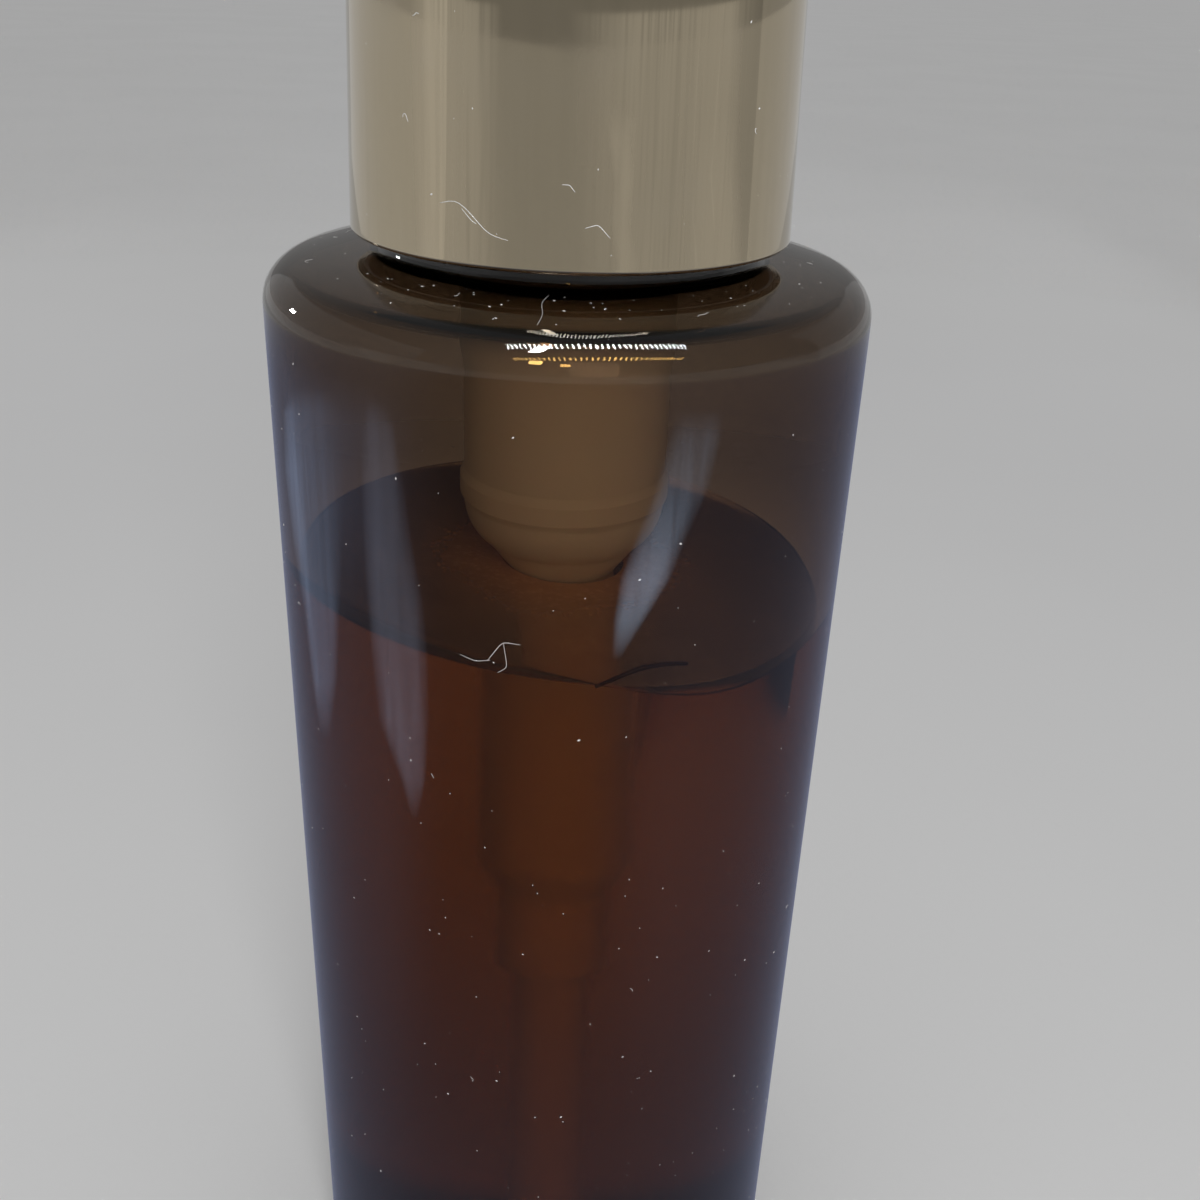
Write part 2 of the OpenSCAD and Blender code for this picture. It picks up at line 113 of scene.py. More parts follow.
def plain(name, description, default, low=0.0, high=1.0e6):
    """A number without a unit that the sidebar shows."""
    return FloatProperty(name=name, description=description, default=default, min=low, max=high)


class BottleSettings(PropertyGroup):
    """Sizes and colours of the bottle and the oil."""

    wall: length("Wall", "Thickness of the bottle's wall", 1.6 * MM)
    base: length("Base", "Thickness of the bottle's base", 2.4 * MM)
    shoulder_z: length("Shoulder", "Height of the shoulder where it meets the boss", 125.5 * MM)
    shoulder_fall: angle("Shoulder fall", "Slope of the domed shoulder at the boss", 2.0)
    edge_fall: angle("Edge fall", "Slope of the domed shoulder where its rounded edge starts", 14.0)
    shoulder_r: length("Shoulder edge", "Radius between shoulder and wall", 3.6 * MM)
    heel_r: length("Heel", "Radius between wall and base", 3.6 * MM)
    foot_w: length("Foot", "Width of the ring that the bottle stands on", 2.6 * MM)
    punt_h: length("Punt", "Height that the middle of the base is pushed up", 3.0 * MM)
    boss_h: length("Boss", "Height of the boss above the shoulder", 4.5 * MM)
    boss_inset: length("Boss inset", "How far the boss stands in from the collar's foot", 0.8 * MM)
    boss_fillet: length("Boss fillet", "Radius of the hollow corner between boss and shoulder", 0.9 * MM)
    neck_r: length("Neck", "Radius of the neck at the thread's root", 12.9 * MM)
    neck_bore_r: length("Neck bore", "Radius of the neck's bore", 11.0 * MM)
    flare: length("Mouth flare", "Width of the flare under the neck's bore", 2.2 * MM)
    thread_h: length("Thread height", "Height of the neck's thread", 1.05 * MM)
    thread_pitch: length("Thread pitch", "Rise of the thread in one turn", 3.0 * MM)
    skin: length("Skin", "Depth that dust on the wall may stand in the bottle's outline", 0.05 * MM)
    amber: colour("Amber", "Share of light that the amber wall lets through", (0.335, 0.258, 0.188))
    amber_waves: length("Amber waves", "Depth of the waves in the wall's outside", 0.014 * MM)


class OilSettings(PropertyGroup):
    """Level, tilt and colour of the oil."""

    tint: colour("Oil", "Share of light that the oil lets through in ten millimetres", (0.935, 0.79, 0.60))
    tilt: angle("Tilt", "Tilt of the oil's surface, high at the left", 4.0)
    meniscus_w: length("Meniscus width", "Width of the ring in which the oil climbs to its line", 4.0 * MM)
    into_wall: length("Into the wall", "Depth that the oil reaches into the wall", 0.12 * MM)
    # the film's share also sets how densely the painted reflection of the pump covers the oil near it
    film: plain("Bubble film", "Share of the oil's top that fine bubbles cover", 0.28, 0.0, 1.0)


class CapSettings(PropertyGroup):
    """Sizes and colours of the overcap."""

    wall: length("Wall", "Thickness of the overcap's wall at the rim", 1.3 * MM)
    roof: length("Roof", "Thickness of the overcap's roof", 1.4 * MM)
    draft: angle("Draft", "Draft of the overcap's outside", 1.6)
    edge_r: length("Edge", "Radius of the edge round the roof", 1.4 * MM)
    bore_step: length("Bore step", "Step between the rim and the bore above the collar's foot", 0.8 * MM)
    champagne: colour("Champagne", "Colour of the metallised skin", (0.495, 0.422, 0.300))
    waves: length("Waves", "Depth of the upright waves in the skin", 0.03 * MM)


class PumpSettings(PropertyGroup):
    """Sizes and colours of the foam pump."""

    housing_wall: length("Housing wall", "Wall of the pump housing", 0.9 * MM)
    housing_r: length("Housing", "Radius of the air cylinder", 9.8 * MM)
    funnel_z: length("Funnel", "Height where the bowl under the air cylinder starts", 101.6 * MM)
    funnel_h: length("Funnel height", "Height of the bowl and funnel", 7.6 * MM)
    bowl_r: length("Bowl", "Radius of the bowl under the air cylinder", 5.0 * MM)
    bowl_turn: angle("Bowl turn", "Part of a turn that the bowl's outline takes", 55.0)
    bead_w: length("Bead", "Width of the bead above the bowl", 3.4 * MM)
    bead_h: length("Bead height", "How far the bead stands out", 0.4 * MM)
    vent_r: length("Vent", "Radius of the vent in the housing", 0.5 * MM)
    tube_wall: length("Tube wall", "Wall of the dip tube", 0.7 * MM)
    tube_cut: angle("Tube cut", "Angle of the cut across the dip tube's tip", 35.0)
    collar_r: length("Collar", "Radius of the collar between its ribs", 16.4 * MM)
    collar_bore_r: length("Collar bore", "Radius of the collar's bore", 14.2 * MM)
    ribs: IntProperty(name="Ribs", description="Number of grip ribs round the collar", default=40, min=8)
    rib_r: length("Rib radius", "Radius of each grip rib", 0.6 * MM)
    rib_h: length("Rib height", "How far each grip rib stands out", 0.35 * MM)
    spring_wire: length("Spring wire", "Thickness of the return spring's wire", 0.6 * MM)
    spring_turns: IntProperty(name="Spring turns", description="Turns of the return spring", default=8, min=3)
    chimney_r: length("Chimney", "Radius of the chimney that guides the head", 8.5 * MM)
    chimney_wall: length("Chimney wall", "Wall of the chimney", 1.2 * MM)
    skirt_r: length("Skirt", "Radius of the head's skirt", 9.9 * MM)
    head_wall: length("Head wall", "Wall of the head", 1.1 * MM)
    pad_r: length("Pad", "Radius of the finger pad", 12.0 * MM)
    pad_edge: length("Pad edge", "Radius of the finger pad's edge", 1.6 * MM)
    dish_h: length("Dish", "Depth of the finger dish", 1.0 * MM)
    dish_r: length("Dish radius", "Radius of the finger dish", 46.0 * MM)
    spout_bore: length("Spout bore", "Bore of the spout", 4.0 * MM)
    spout_wall: length("Spout wall", "Wall of the spout", 1.0 * MM)
    ivory: colour("Ivory", "Colour of the pump's outer plastic", (0.87, 0.81, 0.69))
    natural: colour("Natural", "Colour of the milky plastic", (0.86, 0.82, 0.71))


class DustSettings(PropertyGroup):
    """Dust and lint."""

    wall_specks: IntProperty(name="Wall specks", description="Specks on the bottle's wall", default=560)
    top_specks: IntProperty(name="Shoulder specks", description="Specks on the shoulder", default=110)
    cap_specks: IntProperty(name="Cap specks", description="Specks on the overcap", default=120)
    fibre_r: length("Fibre", "Radius of a lint fibre", 0.022 * MM)
    seed: IntProperty(name="Seed", description="Seed of the dust's places", default=11)


class StageSettings(PropertyGroup):
    """Floor, lamps and world."""

    floor: colour("Floor", "Colour of the floor", (0.78, 0.78, 0.78))
    ambient: plain("Ambient", "Strength of the soft light from all round", 0.50)
    mirrored: plain("Mirrored ambient", "Share of the soft light that reflections show", 0.5, 0.0, 1.0)
    key: plain("Key", "Brightness of the lamp in front, above the bottle", 6.8)
    left: plain("Left", "Brightness of the left softbox", 0.15)
    right: plain("Right", "Brightness of the right softbox", 0.10)
    low: plain("Low", "Brightness of the small low lamp at the right", 0.10)
    # pool sets the painted reflection of darker floor that the wall shows in place of the real floor
    pool: plain("Pool", "Brightness of the floor round the bottle as the wall mirrors it", 0.21)
    # through sets the painted light of brighter floor that only shows through the oil
    through: plain("Through", "Brightness of the floor round the bottle as it shows through the oil", 0.80)


# ---------------------------------------------------------------- outlines and turned surfaces


def arc(centre, radius, start, end, steps=8):
    """Points centre + radius (cos t, sin t) for t from start to end, in radians."""
    t = np.linspace(start, end, steps + 1)
    return np.stack([centre[0] + radius * np.cos(t), centre[1] + radius * np.sin(t)], axis=1)


def rounded(corners, steps=6):
    """Outline of (radius, height, rounding) corners with each corner rounded.

    A corner with rounding q is replaced by the arc that touches both of its sides: the arc starts where the
    distance from the corner is q / tan(half the inside angle), and its centre is q away from both sides.
    """
    points = [np.array(corners[0][:2], float)]
    for before, here, after in zip(corners[:-2], corners[1:-1], corners[2:]):
        q = here[2] if len(here) > 2 else 0.0
        before, here, after = (np.array(p[:2], float) for p in (before, here, after))
        if q <= 0:
            points.append(here)
            continue
        u = (before - here) / np.linalg.norm(before - here)
        v = (after - here) / np.linalg.norm(after - here)
        half = 0.5 * math.acos(np.clip(u @ v, -1.0, 1.0))
        away = q / math.tan(half)
        centre = here + (u + v) / np.linalg.norm(u + v) * q / math.sin(half)
        start, end = here + u * away - centre, here + v * away - centre
        turn = math.atan2(start[0] * end[1] - start[1] * end[0], start @ end)
        first = math.atan2(start[1], start[0])
        points.extend(arc(centre, q, first, first + turn, steps))
    points.append(np.array(corners[-1][:2], float))
    return np.array(points)


def refined(outline, longest=4.0 * MM, hold=0.25 * MM):
    """The outline with points added along its long sides: one close to each end, which keeps the shading of
    flat stretches flat, and the rest evenly spaced."""
    points = [outline[0]]
    for a, b in zip(outline[:-1], outline[1:]):
        side = np.linalg.norm(b - a)
        if side < 1e-9:
            continue
        if side > 4 * hold:
            count = max(1, int(math.ceil((side - 2 * hold) / longest)))
            share = hold / side + (1 - 2 * hold / side) * np.linspace(0, 1, count + 1)
            points.extend(a + (b - a) * t for t in share)
        points.append(b)
    return np.array(points)


def denser(outline, low, high, step):
    """The outline with every side between the heights low and high cut into parts no longer than step."""
    points = [outline[0]]
    for a, b in zip(outline[:-1], outline[1:]):
        side = np.linalg.norm(b - a)
        inside = min(a[1], b[1]) >= low - 1e-9 and max(a[1], b[1]) <= high + 1e-9
        count = max(1, int(math.ceil(side / step))) if inside else 1
        points.extend(a + (b - a) * t for t in np.linspace(0, 1, count + 1)[1:])
    return np.array(points)


def filled_mesh(name, points, faces, smooth=False):
    """Mesh of points and of faces that list their corners, shaded smooth or flat, all alike or each by its
    own value."""
    mesh = bpy.data.meshes.new(name)
    mesh.from_pydata(np.reshape(points, (-1, 3)).tolist(), [], faces)
    mesh.polygons.foreach_set("use_smooth", np.full(len(mesh.polygons), smooth))
    mesh.update()
    return mesh


def turned_mesh(name, outline, segments, bump=None, sharp=40.0):
    """Surface of revolution of an outline of (radius, height) points about the Z axis.

    The point of row i and column j is (r cos a, r sin a, z) with a = 2 pi j / segments and (r, z) the i-th
    outline point, moved by bump(r, z, a) where one is given. A row with radius 0 becomes one pole vertex.
    An outline that doesn't run from pole to pole is closed. It runs with the solid on its left, so that the
    faces point outwards. Edges sharper than an angle in degrees are shaded sharp.
    """
    rows = len(outline)
    a = np.arange(segments)[None, :] * (TURN / segments)
    rr = np.broadcast_to(outline[:, 0][:, None], (rows, segments))
    zz = np.broadcast_to(outline[:, 1][:, None], (rows, segments))
    aa = np.broadcast_to(a, rr.shape)
    if bump is not None:
        rr, zz = bump(rr, zz, aa)
    grid = np.stack([rr * np.cos(aa), rr * np.sin(aa), zz], axis=-1)
    pole = outline[:, 0] < 1e-7
    counts = np.where(pole, 1, segments)
    starts = np.concatenate([[0], np.cumsum(counts)[:-1]])
    index = starts[:, None] + np.where(pole[:, None], 0, np.arange(segments)[None, :])
    keep = np.arange(segments)[None, :] < counts[:, None]
    verts = grid[keep]
    nexts = np.roll(index, -1, axis=1)
    faces = []
    for i in range(rows - 1 if pole[0] and pole[-1] else rows):
        k = (i + 1) % rows
        if pole[i] and pole[k]:
            continue
        if pole[i]:
            faces.extend(np.stack([index[i], nexts[k], index[k]], axis=1).tolist())
        elif pole[k]:
            faces.extend(np.stack([index[i], nexts[i], index[k]], axis=1).tolist())
        else:
            faces.extend(np.stack([index[i], nexts[i], nexts[k], index[k]], axis=1).tolist())
    mesh = filled_mesh(name, verts, faces, smooth=True)
    mesh.set_sharp_from_angle(angle=math.radians(sharp))
    mesh.update()
    return mesh


def add_piece(name, mesh, materials, body, slot, *nodes):
    """Puts a mesh in the scene as a piece that rides on a body and stands for CAD nodes."""
    piece = bpy.data.objects.new(name, mesh)
    bpy.context.scene.collection.objects.link(piece)
    for material in materials if isinstance(materials, (list, tuple)) else (materials,):
        mesh.materials.append(material)
    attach(piece, body)
    if nodes:
        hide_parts(*nodes)
    return piece


def finish_node(node, material):
    """Gives a CAD node that is shown as it is its material."""
    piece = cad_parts[node]
    if not piece.material_slots:
        raise RuntimeError(f"{node} has no material slot")
    for place in piece.material_slots:
        place.material = material


# ---------------------------------------------------------------- bottle


def shoulder_circles(s):
    """Centre and radius of the shoulder's dome, and centre of its rounded edge.

    Both circles have the slope edge_fall where they meet, and the dome has the slope shoulder_fall where
    the hollow corner under the boss starts.
    """
    boss_r = COLLAR_FOOT_R - s.boss_inset
    edge_r = BOTTLE_R - s.shoulder_r * (1 - math.sin(s.edge_fall))
    foot_r = boss_r + s.boss_fillet * (1 - math.sin(s.shoulder_fall))
    dome_r = (edge_r - foot_r) / (math.sin(s.edge_fall) - math.sin(s.shoulder_fall))
    dome_c = (foot_r - dome_r * math.sin(s.shoulder_fall), s.shoulder_z - dome_r * math.cos(s.shoulder_fall))
    edge_c = (BOTTLE_R - s.shoulder_r, dome_c[1] + (dome_r - s.shoulder_r) * math.cos(s.edge_fall))
    return dome_c, dome_r, edge_c


def bottle_outline(s):
    """Outline of the bottle's wall, up the outside and down the inside."""
    foot_out = BOTTLE_R - s.heel_r
    foot_in = foot_out - s.foot_w
    boss_r, boss_top = COLLAR_FOOT_R - s.boss_inset, s.shoulder_z + s.boss_h
    dome_c, dome_r, edge_c = shoulder_circles(s)
    quarter = math.pi / 2
    skin = s.skin
    low = rounded([
        (0, s.punt_h), (foot_in - 1.2 * MM, 0.7 * s.punt_h, 2.0 * MM), (foot_in, 0, 0.8 * MM),
        (BOTTLE_R - skin, 0, s.heel_r - 0.2 * MM), (BOTTLE_R - skin, 20 * MM)], 10)
    edge = arc(edge_c, s.shoulder_r - skin, 0, quarter - s.edge_fall, 16)
    dome = arc(dome_c, dome_r - skin, quarter - s.edge_fall, quarter - s.shoulder_fall, 14)[1:]
    fillet_c = (boss_r + s.boss_fillet, s.shoulder_z + s.boss_fillet * math.cos(s.shoulder_fall))
    fillet = arc(fillet_c, s.boss_fillet + skin, -quarter - s.shoulder_fall, -2 * quarter, 8)[1:]
    neck = rounded([
        (boss_r - skin, boss_top - 2 * MM), (boss_r - skin, boss_top, 0.5 * MM),
        (s.neck_r, boss_top, 0.5 * MM), (s.neck_r, NECK_TOP, 0.4 * MM),
        (s.neck_bore_r, NECK_TOP, 0.3 * MM), (s.neck_bore_r, s.shoulder_z + 0.9 * MM, 1.6 * MM),
        inner_dome_point(s, dome_c, dome_r, s.neck_bore_r + s.flare) + (0.9 * MM,),
        inner_dome_point(s, dome_c, dome_r, s.neck_bore_r + s.flare + 2.0 * MM)], 8)
    start = math.acos((s.neck_bore_r + s.flare + 2.5 * MM - dome_c[0]) / (dome_r - s.wall))
    inner_dome = arc(dome_c, dome_r - s.wall, start, quarter - s.edge_fall, 12)
    inner_edge = arc(edge_c, s.shoulder_r - s.wall, quarter - s.edge_fall, 0, 10)[1:]
    inner_r = BOTTLE_R - s.wall
    inside = rounded([
        (inner_r, 20 * MM), (inner_r, s.base, s.heel_r - s.wall), (foot_in, s.base, 1.0 * MM),
        (foot_in - 1.2 * MM, 0.7 * s.punt_h + s.base, 1.5 * MM), (0, s.punt_h + s.base)], 10)
    return np.concatenate([low, edge, dome, fillet, neck, inner_dome, inner_edge, inside])


def inner_dome_point(s, centre, radius, r):
    """Point of the dome's inside at a distance r from the axis."""
    return r, centre[1] + math.sqrt((radius - s.wall) ** 2 - (r - centre[0]) ** 2)


def thread_bump(s, start_z, end_z):
    """Radial rise of a rounded thread on the neck: thread_h times the flattened crest of
    cos(2 pi (z / pitch - turns)), faded at both ends of the threaded stretch."""
    def bump(r, z, a):
        phase = (z - start_z) / s.thread_pitch - a / TURN
        crest = np.clip(1.6 * np.cos(TURN * phase) - 0.2, 0.0, 1.0)
        crest = crest * crest * (3 - 2 * crest)
        turn = np.round(phase) + a / TURN
        turns = (end_z - start_z) / s.thread_pitch - 1
        fade = np.clip(turn * 6, 0, 1) * np.clip((turns - turn) * 6, 0, 1)
        on_neck = (np.abs(r - s.neck_r) < 1e-6) & (z > start_z - s.thread_pitch) & (z < end_z + s.thread_pitch)
        return r + np.where(on_neck, s.thread_h * crest * fade, 0.0), z
    return bump


def bottle_mesh(s):
    """The bottle, with its thread as a bump on the neck's outside."""
    boss_top = s.shoulder_z + s.boss_h
    outline = refined(bottle_outline(s))
    outline = denser(outline, boss_top + 0.4 * MM, NECK_TOP - 0.3 * MM, 0.18 * MM)
    bump = thread_bump(s, boss_top + 1.8 * MM, NECK_TOP - 1.2 * MM)
    return turned_mesh("bottle_glass", outline, segments=248, bump=bump)


# ---------------------------------------------------------------- oil

# the line that the oil has drawn on the wall: angle from +X in degrees, and height
OIL_LINE = ((-180, 97.2), (-150, 98.6), (-124, 99.0), (-107, 97.6), (-93, 96.6), (-83, 95.2), (-70, 93.4),
            (-55, 92.1), (-38, 93.2), (-20, 94.1), (0, 93.6), (30, 94.2), (70, 95.4), (110, 96.0), (150, 96.8),
            (180, 97.2))


def oil_line(a):
    """Height of the oil's line on the wall at an angle: the even blend of the points in OIL_LINE."""
    known_a, known_z = np.array(OIL_LINE).T
    degrees = (np.degrees(a) + 180) % 360 - 180
    soft = sum(np.interp((degrees + d + 180) % 360 - 180, known_a, known_z) for d in (-8, -4, 0, 4, 8)) / 5
    return soft * MM


def oil_outline(s, o):
    """Outline of the oil: it reaches a little into the wall, so that no air shows between them."""
    into = o.into_wall
    foot_in = BOTTLE_R - s.heel_r - s.foot_w
    inner = BOTTLE_R - s.wall + into
    low = rounded([
        (0, s.punt_h + s.base - into), (foot_in - 1.2 * MM, 0.7 * s.punt_h + s.base - into, 1.5 * MM),
        (foot_in, s.base - into, 1.0 * MM), (inner, s.base - into, s.heel_r - s.wall),
        (inner, OIL_TOP - 8 * MM)], 10)
    t = np.linspace(0.0, 1.0, 22)[:, None]
    ring = np.concatenate([inner - o.meniscus_w * t ** 1.6, np.full_like(t, OIL_TOP)], axis=1)
    middle = np.stack([np.linspace(inner - o.meniscus_w, 0, 12)[1:], np.full(11, OIL_TOP)], axis=1)
    return np.concatenate([refined(low, longest=6 * MM), ring, middle])


def oil_bump(s, o):
    """Lifts the oil's top to a tilted plane, and to its line where it nears the wall: the lift grows from
    nothing at the inner side of the meniscus to all of the way at the wall, as a high power of the share."""
    inner = BOTTLE_R - s.wall + o.into_wall

    def bump(r, z, a):
        plane = OIL_TOP - 0.4 * MM - math.tan(o.tilt) * r * np.cos(a)
        share = np.clip((r - (inner - o.meniscus_w)) / o.meniscus_w, 0, 1)
        climb = 0.35 * share ** 2 + 0.65 * share ** 9
        top = plane + (oil_line(a) - plane) * climb
        side = (z < OIL_TOP - 4 * MM) & (z > OIL_TOP - 9 * MM)
        return r, np.where(z > OIL_TOP - 1 * MM, top, np.where(side, z - 2 * MM, z))
    return bump


def film_mesh(s, o):
    """Ring of bubbles, with a painted reflection of the pump near its inner edge, that lies on the oil's tilted top:
    its underside is just above the oil, its upper side a little higher, and both meet at an inner edge round the
    pump and at an outer edge near the wall. The outer edge comes nearer to the wall at the back, by a high power
    of the share of the width."""
    wall = BOTTLE_R - s.wall + o.into_wall - 0.75 * MM
    pump = CYLINDER_BORE_R + 2.3 * MM
    r = np.linspace(pump, wall, 15)
    low, high = (np.stack([r, np.full_like(r, OIL_TOP + up)], axis=1) for up in (0.03 * MM, 0.13 * MM))

    def lift(radius, z, a):
        share = np.clip((radius - pump) / (wall - pump), 0, 1)
        radius = radius + 0.62 * MM * share ** 6 * np.clip(0.5 + 0.9 * np.sin(a), 0, 1)
        return radius, z + oil_bump(s, o)(radius, np.full_like(z, OIL_TOP), a)[1] - OIL_TOP
    return turned_mesh("bubbles_and_pump_reflection", np.concatenate([low, high[::-1]]), segments=128, bump=lift, sharp=70.0)


# ---------------------------------------------------------------- overcap


def cap_radius(s, z):
    """Radius of the overcap's drafted outside at a height."""
    return CAP_RIM_R - (z - CAP_RIM_Z) * math.tan(s.draft)


def cap_outline(s):
    """Outlines of the overcap's outside, from its rim up, and of its inside, from the roof down."""
    low_r = CAP_RIM_R - s.wall
    ledge_z = COLLAR_FOOT_Z + 1.65 * MM
    bore_r = low_r - s.bore_step
    roof_z = CAP_TOP - s.roof
    bore_top = bore_r - (roof_z - ledge_z) * math.tan(s.draft) / 2
    outer = rounded([
        (low_r + 0.4 * MM, CAP_RIM_Z), (CAP_RIM_R, CAP_RIM_Z, 0.3 * MM),
        (cap_radius(s, CAP_TOP), CAP_TOP, s.edge_r), (0, CAP_TOP)], 10)
    inner = rounded([
        (0, roof_z), (bore_top, roof_z, 0.8 * MM), (bore_r, ledge_z, 0.2 * MM), (low_r, ledge_z, 0.2 * MM),
        (low_r, CAP_RIM_Z, 0.2 * MM), (low_r + 0.4 * MM, CAP_RIM_Z)], 6)
    return refined(outer), refined(inner)[:-1]


def cap_mesh(s):
    """The overcap, with its metallised outside as material 0 and its bare inside as material 1."""
    outer, inner = cap_outline(s)
    segments = 256
    mesh = turned_mesh("overcap_shell", np.concatenate([outer, inner]), segments=segments)
    skinned = (len(outer) - 1) * segments
    inside = (np.arange(len(mesh.polygons)) >= skinned).astype(np.int32)
    mesh.polygons.foreach_set("material_index", inside)
    return mesh


# ---------------------------------------------------------------- pump


def housing_outline(p):
    """Outline of the pump housing: socket, liquid cylinder, bowl, bead, air cylinder and flange."""
    cylinder_r = CYLINDER_BORE_R + p.housing_wall + 0.3 * MM
    socket_r = TUBE_R + p.housing_wall + 0.3 * MM
    bowl_c = (p.housing_r - p.bowl_r, p.funnel_z)
    seat_z = TUBE_TOP + 1.0 * MM
    liquid_z = p.funnel_z - p.funnel_h
    tip = (bowl_c[0] + p.bowl_r * math.cos(p.bowl_turn), bowl_c[1] - p.bowl_r * math.sin(p.bowl_turn))
    bead_r = p.housing_r + p.bead_h
    low = rounded([
        (TUBE_R + 0.02 * MM, SOCKET_Z), (socket_r, SOCKET_Z, 0.4 * MM), (socket_r, seat_z, 1.0 * MM),
        (cylinder_r, CAGE_Z - 1.0 * MM, 1.0 * MM), (cylinder_r, liquid_z, 0.8 * MM), tip], 6)
    bowl = arc(bowl_c, p.bowl_r, -p.bowl_turn, 0, 14)[1:]
    high = rounded([
        (p.housing_r, p.funnel_z + 0.1 * MM), (bead_r, p.funnel_z + 0.8 * MM, 0.3 * MM),
        (bead_r, p.funnel_z + p.bead_w - 0.8 * MM, 0.3 * MM),
        (p.housing_r, p.funnel_z + p.bead_w, 0.4 * MM), (p.housing_r, FLANGE_Z, 0.3 * MM),
        (LAND_R, FLANGE_Z, 0.15 * MM), (LAND_R, WEB_Z), (p.housing_r - p.housing_wall, WEB_Z, 0.2 * MM),
        (p.housing_r - p.housing_wall, p.funnel_z + 0.1 * MM)], 5)
    inner_bowl = arc(bowl_c, p.bowl_r - p.housing_wall, 0, -p.bowl_turn, 10)
    chamber_r = CYLINDER_BORE_R - 1.6 * MM
    inside = rounded([
        (CYLINDER_BORE_R, liquid_z + 0.6 * MM), (CYLINDER_BORE_R, CAGE_Z), (chamber_r, CAGE_Z),
        (chamber_r, seat_z + 1.1 * MM), (1.2 * MM, seat_z), (1.2 * MM, TUBE_TOP), (TUBE_R + 0.02 * MM, TUBE_TOP),
        (TUBE_R + 0.02 * MM, SOCKET_Z + 0.3 * MM)], 3)
    return np.concatenate([low, bowl, high, inner_bowl, inside])


def vent_bump(p, vent_z):
    """Pushes a round pit with steep sides, as deep as the housing's wall, into the outside at -Y."""
    def bump(r, z, a):
        across = p.housing_r * ((a - 1.5 * math.pi + math.pi) % TURN - math.pi)
        far = np.sqrt(across ** 2 + (z - vent_z) ** 2) / p.vent_r
        pit = np.clip((1.15 - far) * 4, 0, 1)
        outside = np.abs(r - p.housing_r) < 1e-6
        return r - np.where(outside, 0.85 * p.housing_wall * pit, 0), z
    return bump


def housing_mesh(p):
    """The pump housing turned from its outline, whose straight side has finer rows where the vent is."""
    vent_z = FLANGE_Z - 2.4 * MM
    outline = denser(refined(housing_outline(p)), p.funnel_z + p.bead_w + 0.2 * MM, FLANGE_Z - 0.3 * MM, 1.0 * MM)
    beside = np.flatnonzero((np.abs(outline[:, 1] - vent_z) < 1.5 * MM)
                            & (np.abs(outline[:, 0] - p.housing_r) < 1e-6))
    fine = np.stack([np.full(25, p.housing_r), vent_z + np.linspace(-1.2, 1.2, 25) * MM], axis=1)
    outline = np.concatenate([outline[:beside[0]], fine, outline[beside[-1] + 1:]])
    return turned_mesh("housing_shell", outline, segments=240, bump=vent_bump(p, vent_z))


def tube_mesh(p):
    """The dip tube: a ring outline whose lower end follows the cut, so that a point at height share t sits
    at cut + t (top - cut), with cut = z0 + (x + tube radius) tan(cut angle)."""
    inner = TUBE_R - p.tube_wall
    t = np.linspace(0, 1, 24)
    outside = np.stack([np.full(24, TUBE_R), t], axis=1)
    inside = np.stack([np.full(24, inner), t[::-1]], axis=1)
    outline = np.concatenate([outside, [[TUBE_R - 0.35 * p.tube_wall, 1.0]], inside])

    def bump(r, z, a):
        cut = TUBE_Z + (r * np.cos(a) + TUBE_R) * math.tan(p.tube_cut)
        return r, cut + z * (TUBE_TOP - cut)
    return turned_mesh("dip_tube_wall", outline, segments=96, bump=bump)


def collar_mesh(p):
    """The screw collar. Each grip rib is part of a circle: the radius grows by
    sqrt(rib_r^2 - s^2) - (rib_r - rib_h) at a distance s along the collar from the rib's middle."""
    hole_r = p.chimney_r + 0.2 * MM
    foot_top = COLLAR_FOOT_Z + 1.6 * MM
    under = COLLAR_TOP - 1.4 * MM
    outline = rounded([
        (p.collar_bore_r, COLLAR_FOOT_Z), (COLLAR_FOOT_R, COLLAR_FOOT_Z, 0.25 * MM),
        (COLLAR_FOOT_R, foot_top, 0.35 * MM), (p.collar_r, foot_top, 0.25 * MM),
        (p.collar_r, COLLAR_TOP, 1.0 * MM), (hole_r, COLLAR_TOP, 0.2 * MM), (hole_r, under, 0.1 * MM),
        (p.collar_bore_r, under, 0.3 * MM), (p.collar_bore_r, COLLAR_FOOT_Z + 0.1 * MM)], 6)
    outline = denser(refined(outline), foot_top + 0.2 * MM, COLLAR_TOP - 0.9 * MM, 1.2 * MM)
    low, high = foot_top, COLLAR_TOP - 1.6 * MM

    def bump(r, z, a):
        pitch = TURN / p.ribs
        s = p.collar_r * (np.abs((a + pitch / 2) % pitch - pitch / 2))
        rise = np.sqrt(np.maximum(p.rib_r ** 2 - s ** 2, 0)) - (p.rib_r - p.rib_h)
        fade = np.sqrt(np.clip((high + 0.6 * MM - z) / (0.6 * MM), 0, 1)) * (z > low)
        on_side = np.abs(r - p.collar_r) < 1e-6
        return r + np.where(on_side, np.maximum(rise, 0) * fade, 0), z
    return turned_mesh("collar_ring", outline, segments=640, bump=bump)


def guide_mesh(p):
    """The web that closes the housing and the chimney that guides the head, turned from one outline."""
    web_top = WEB_Z + 1.2 * MM
    bore = p.chimney_r - p.chimney_wall
    hole = 5.0 * MM
    outline = rounded([
        (hole, WEB_Z + 0.2 * MM), (hole, WEB_Z, 0.1 * MM), (LAND_R, WEB_Z, 0.15 * MM), (LAND_R, web_top, 0.2 * MM),
        (p.chimney_r, web_top, 0.02 * MM), (p.chimney_r, CHIMNEY_TOP, 0.35 * MM), (bore, CHIMNEY_TOP, 0.3 * MM),
        (bore, web_top, 0.4 * MM), (hole, web_top, 0.1 * MM), (hole, WEB_Z + 0.3 * MM)], 5)
    return turned_mesh("guide_chimney", refined(outline), segments=160)


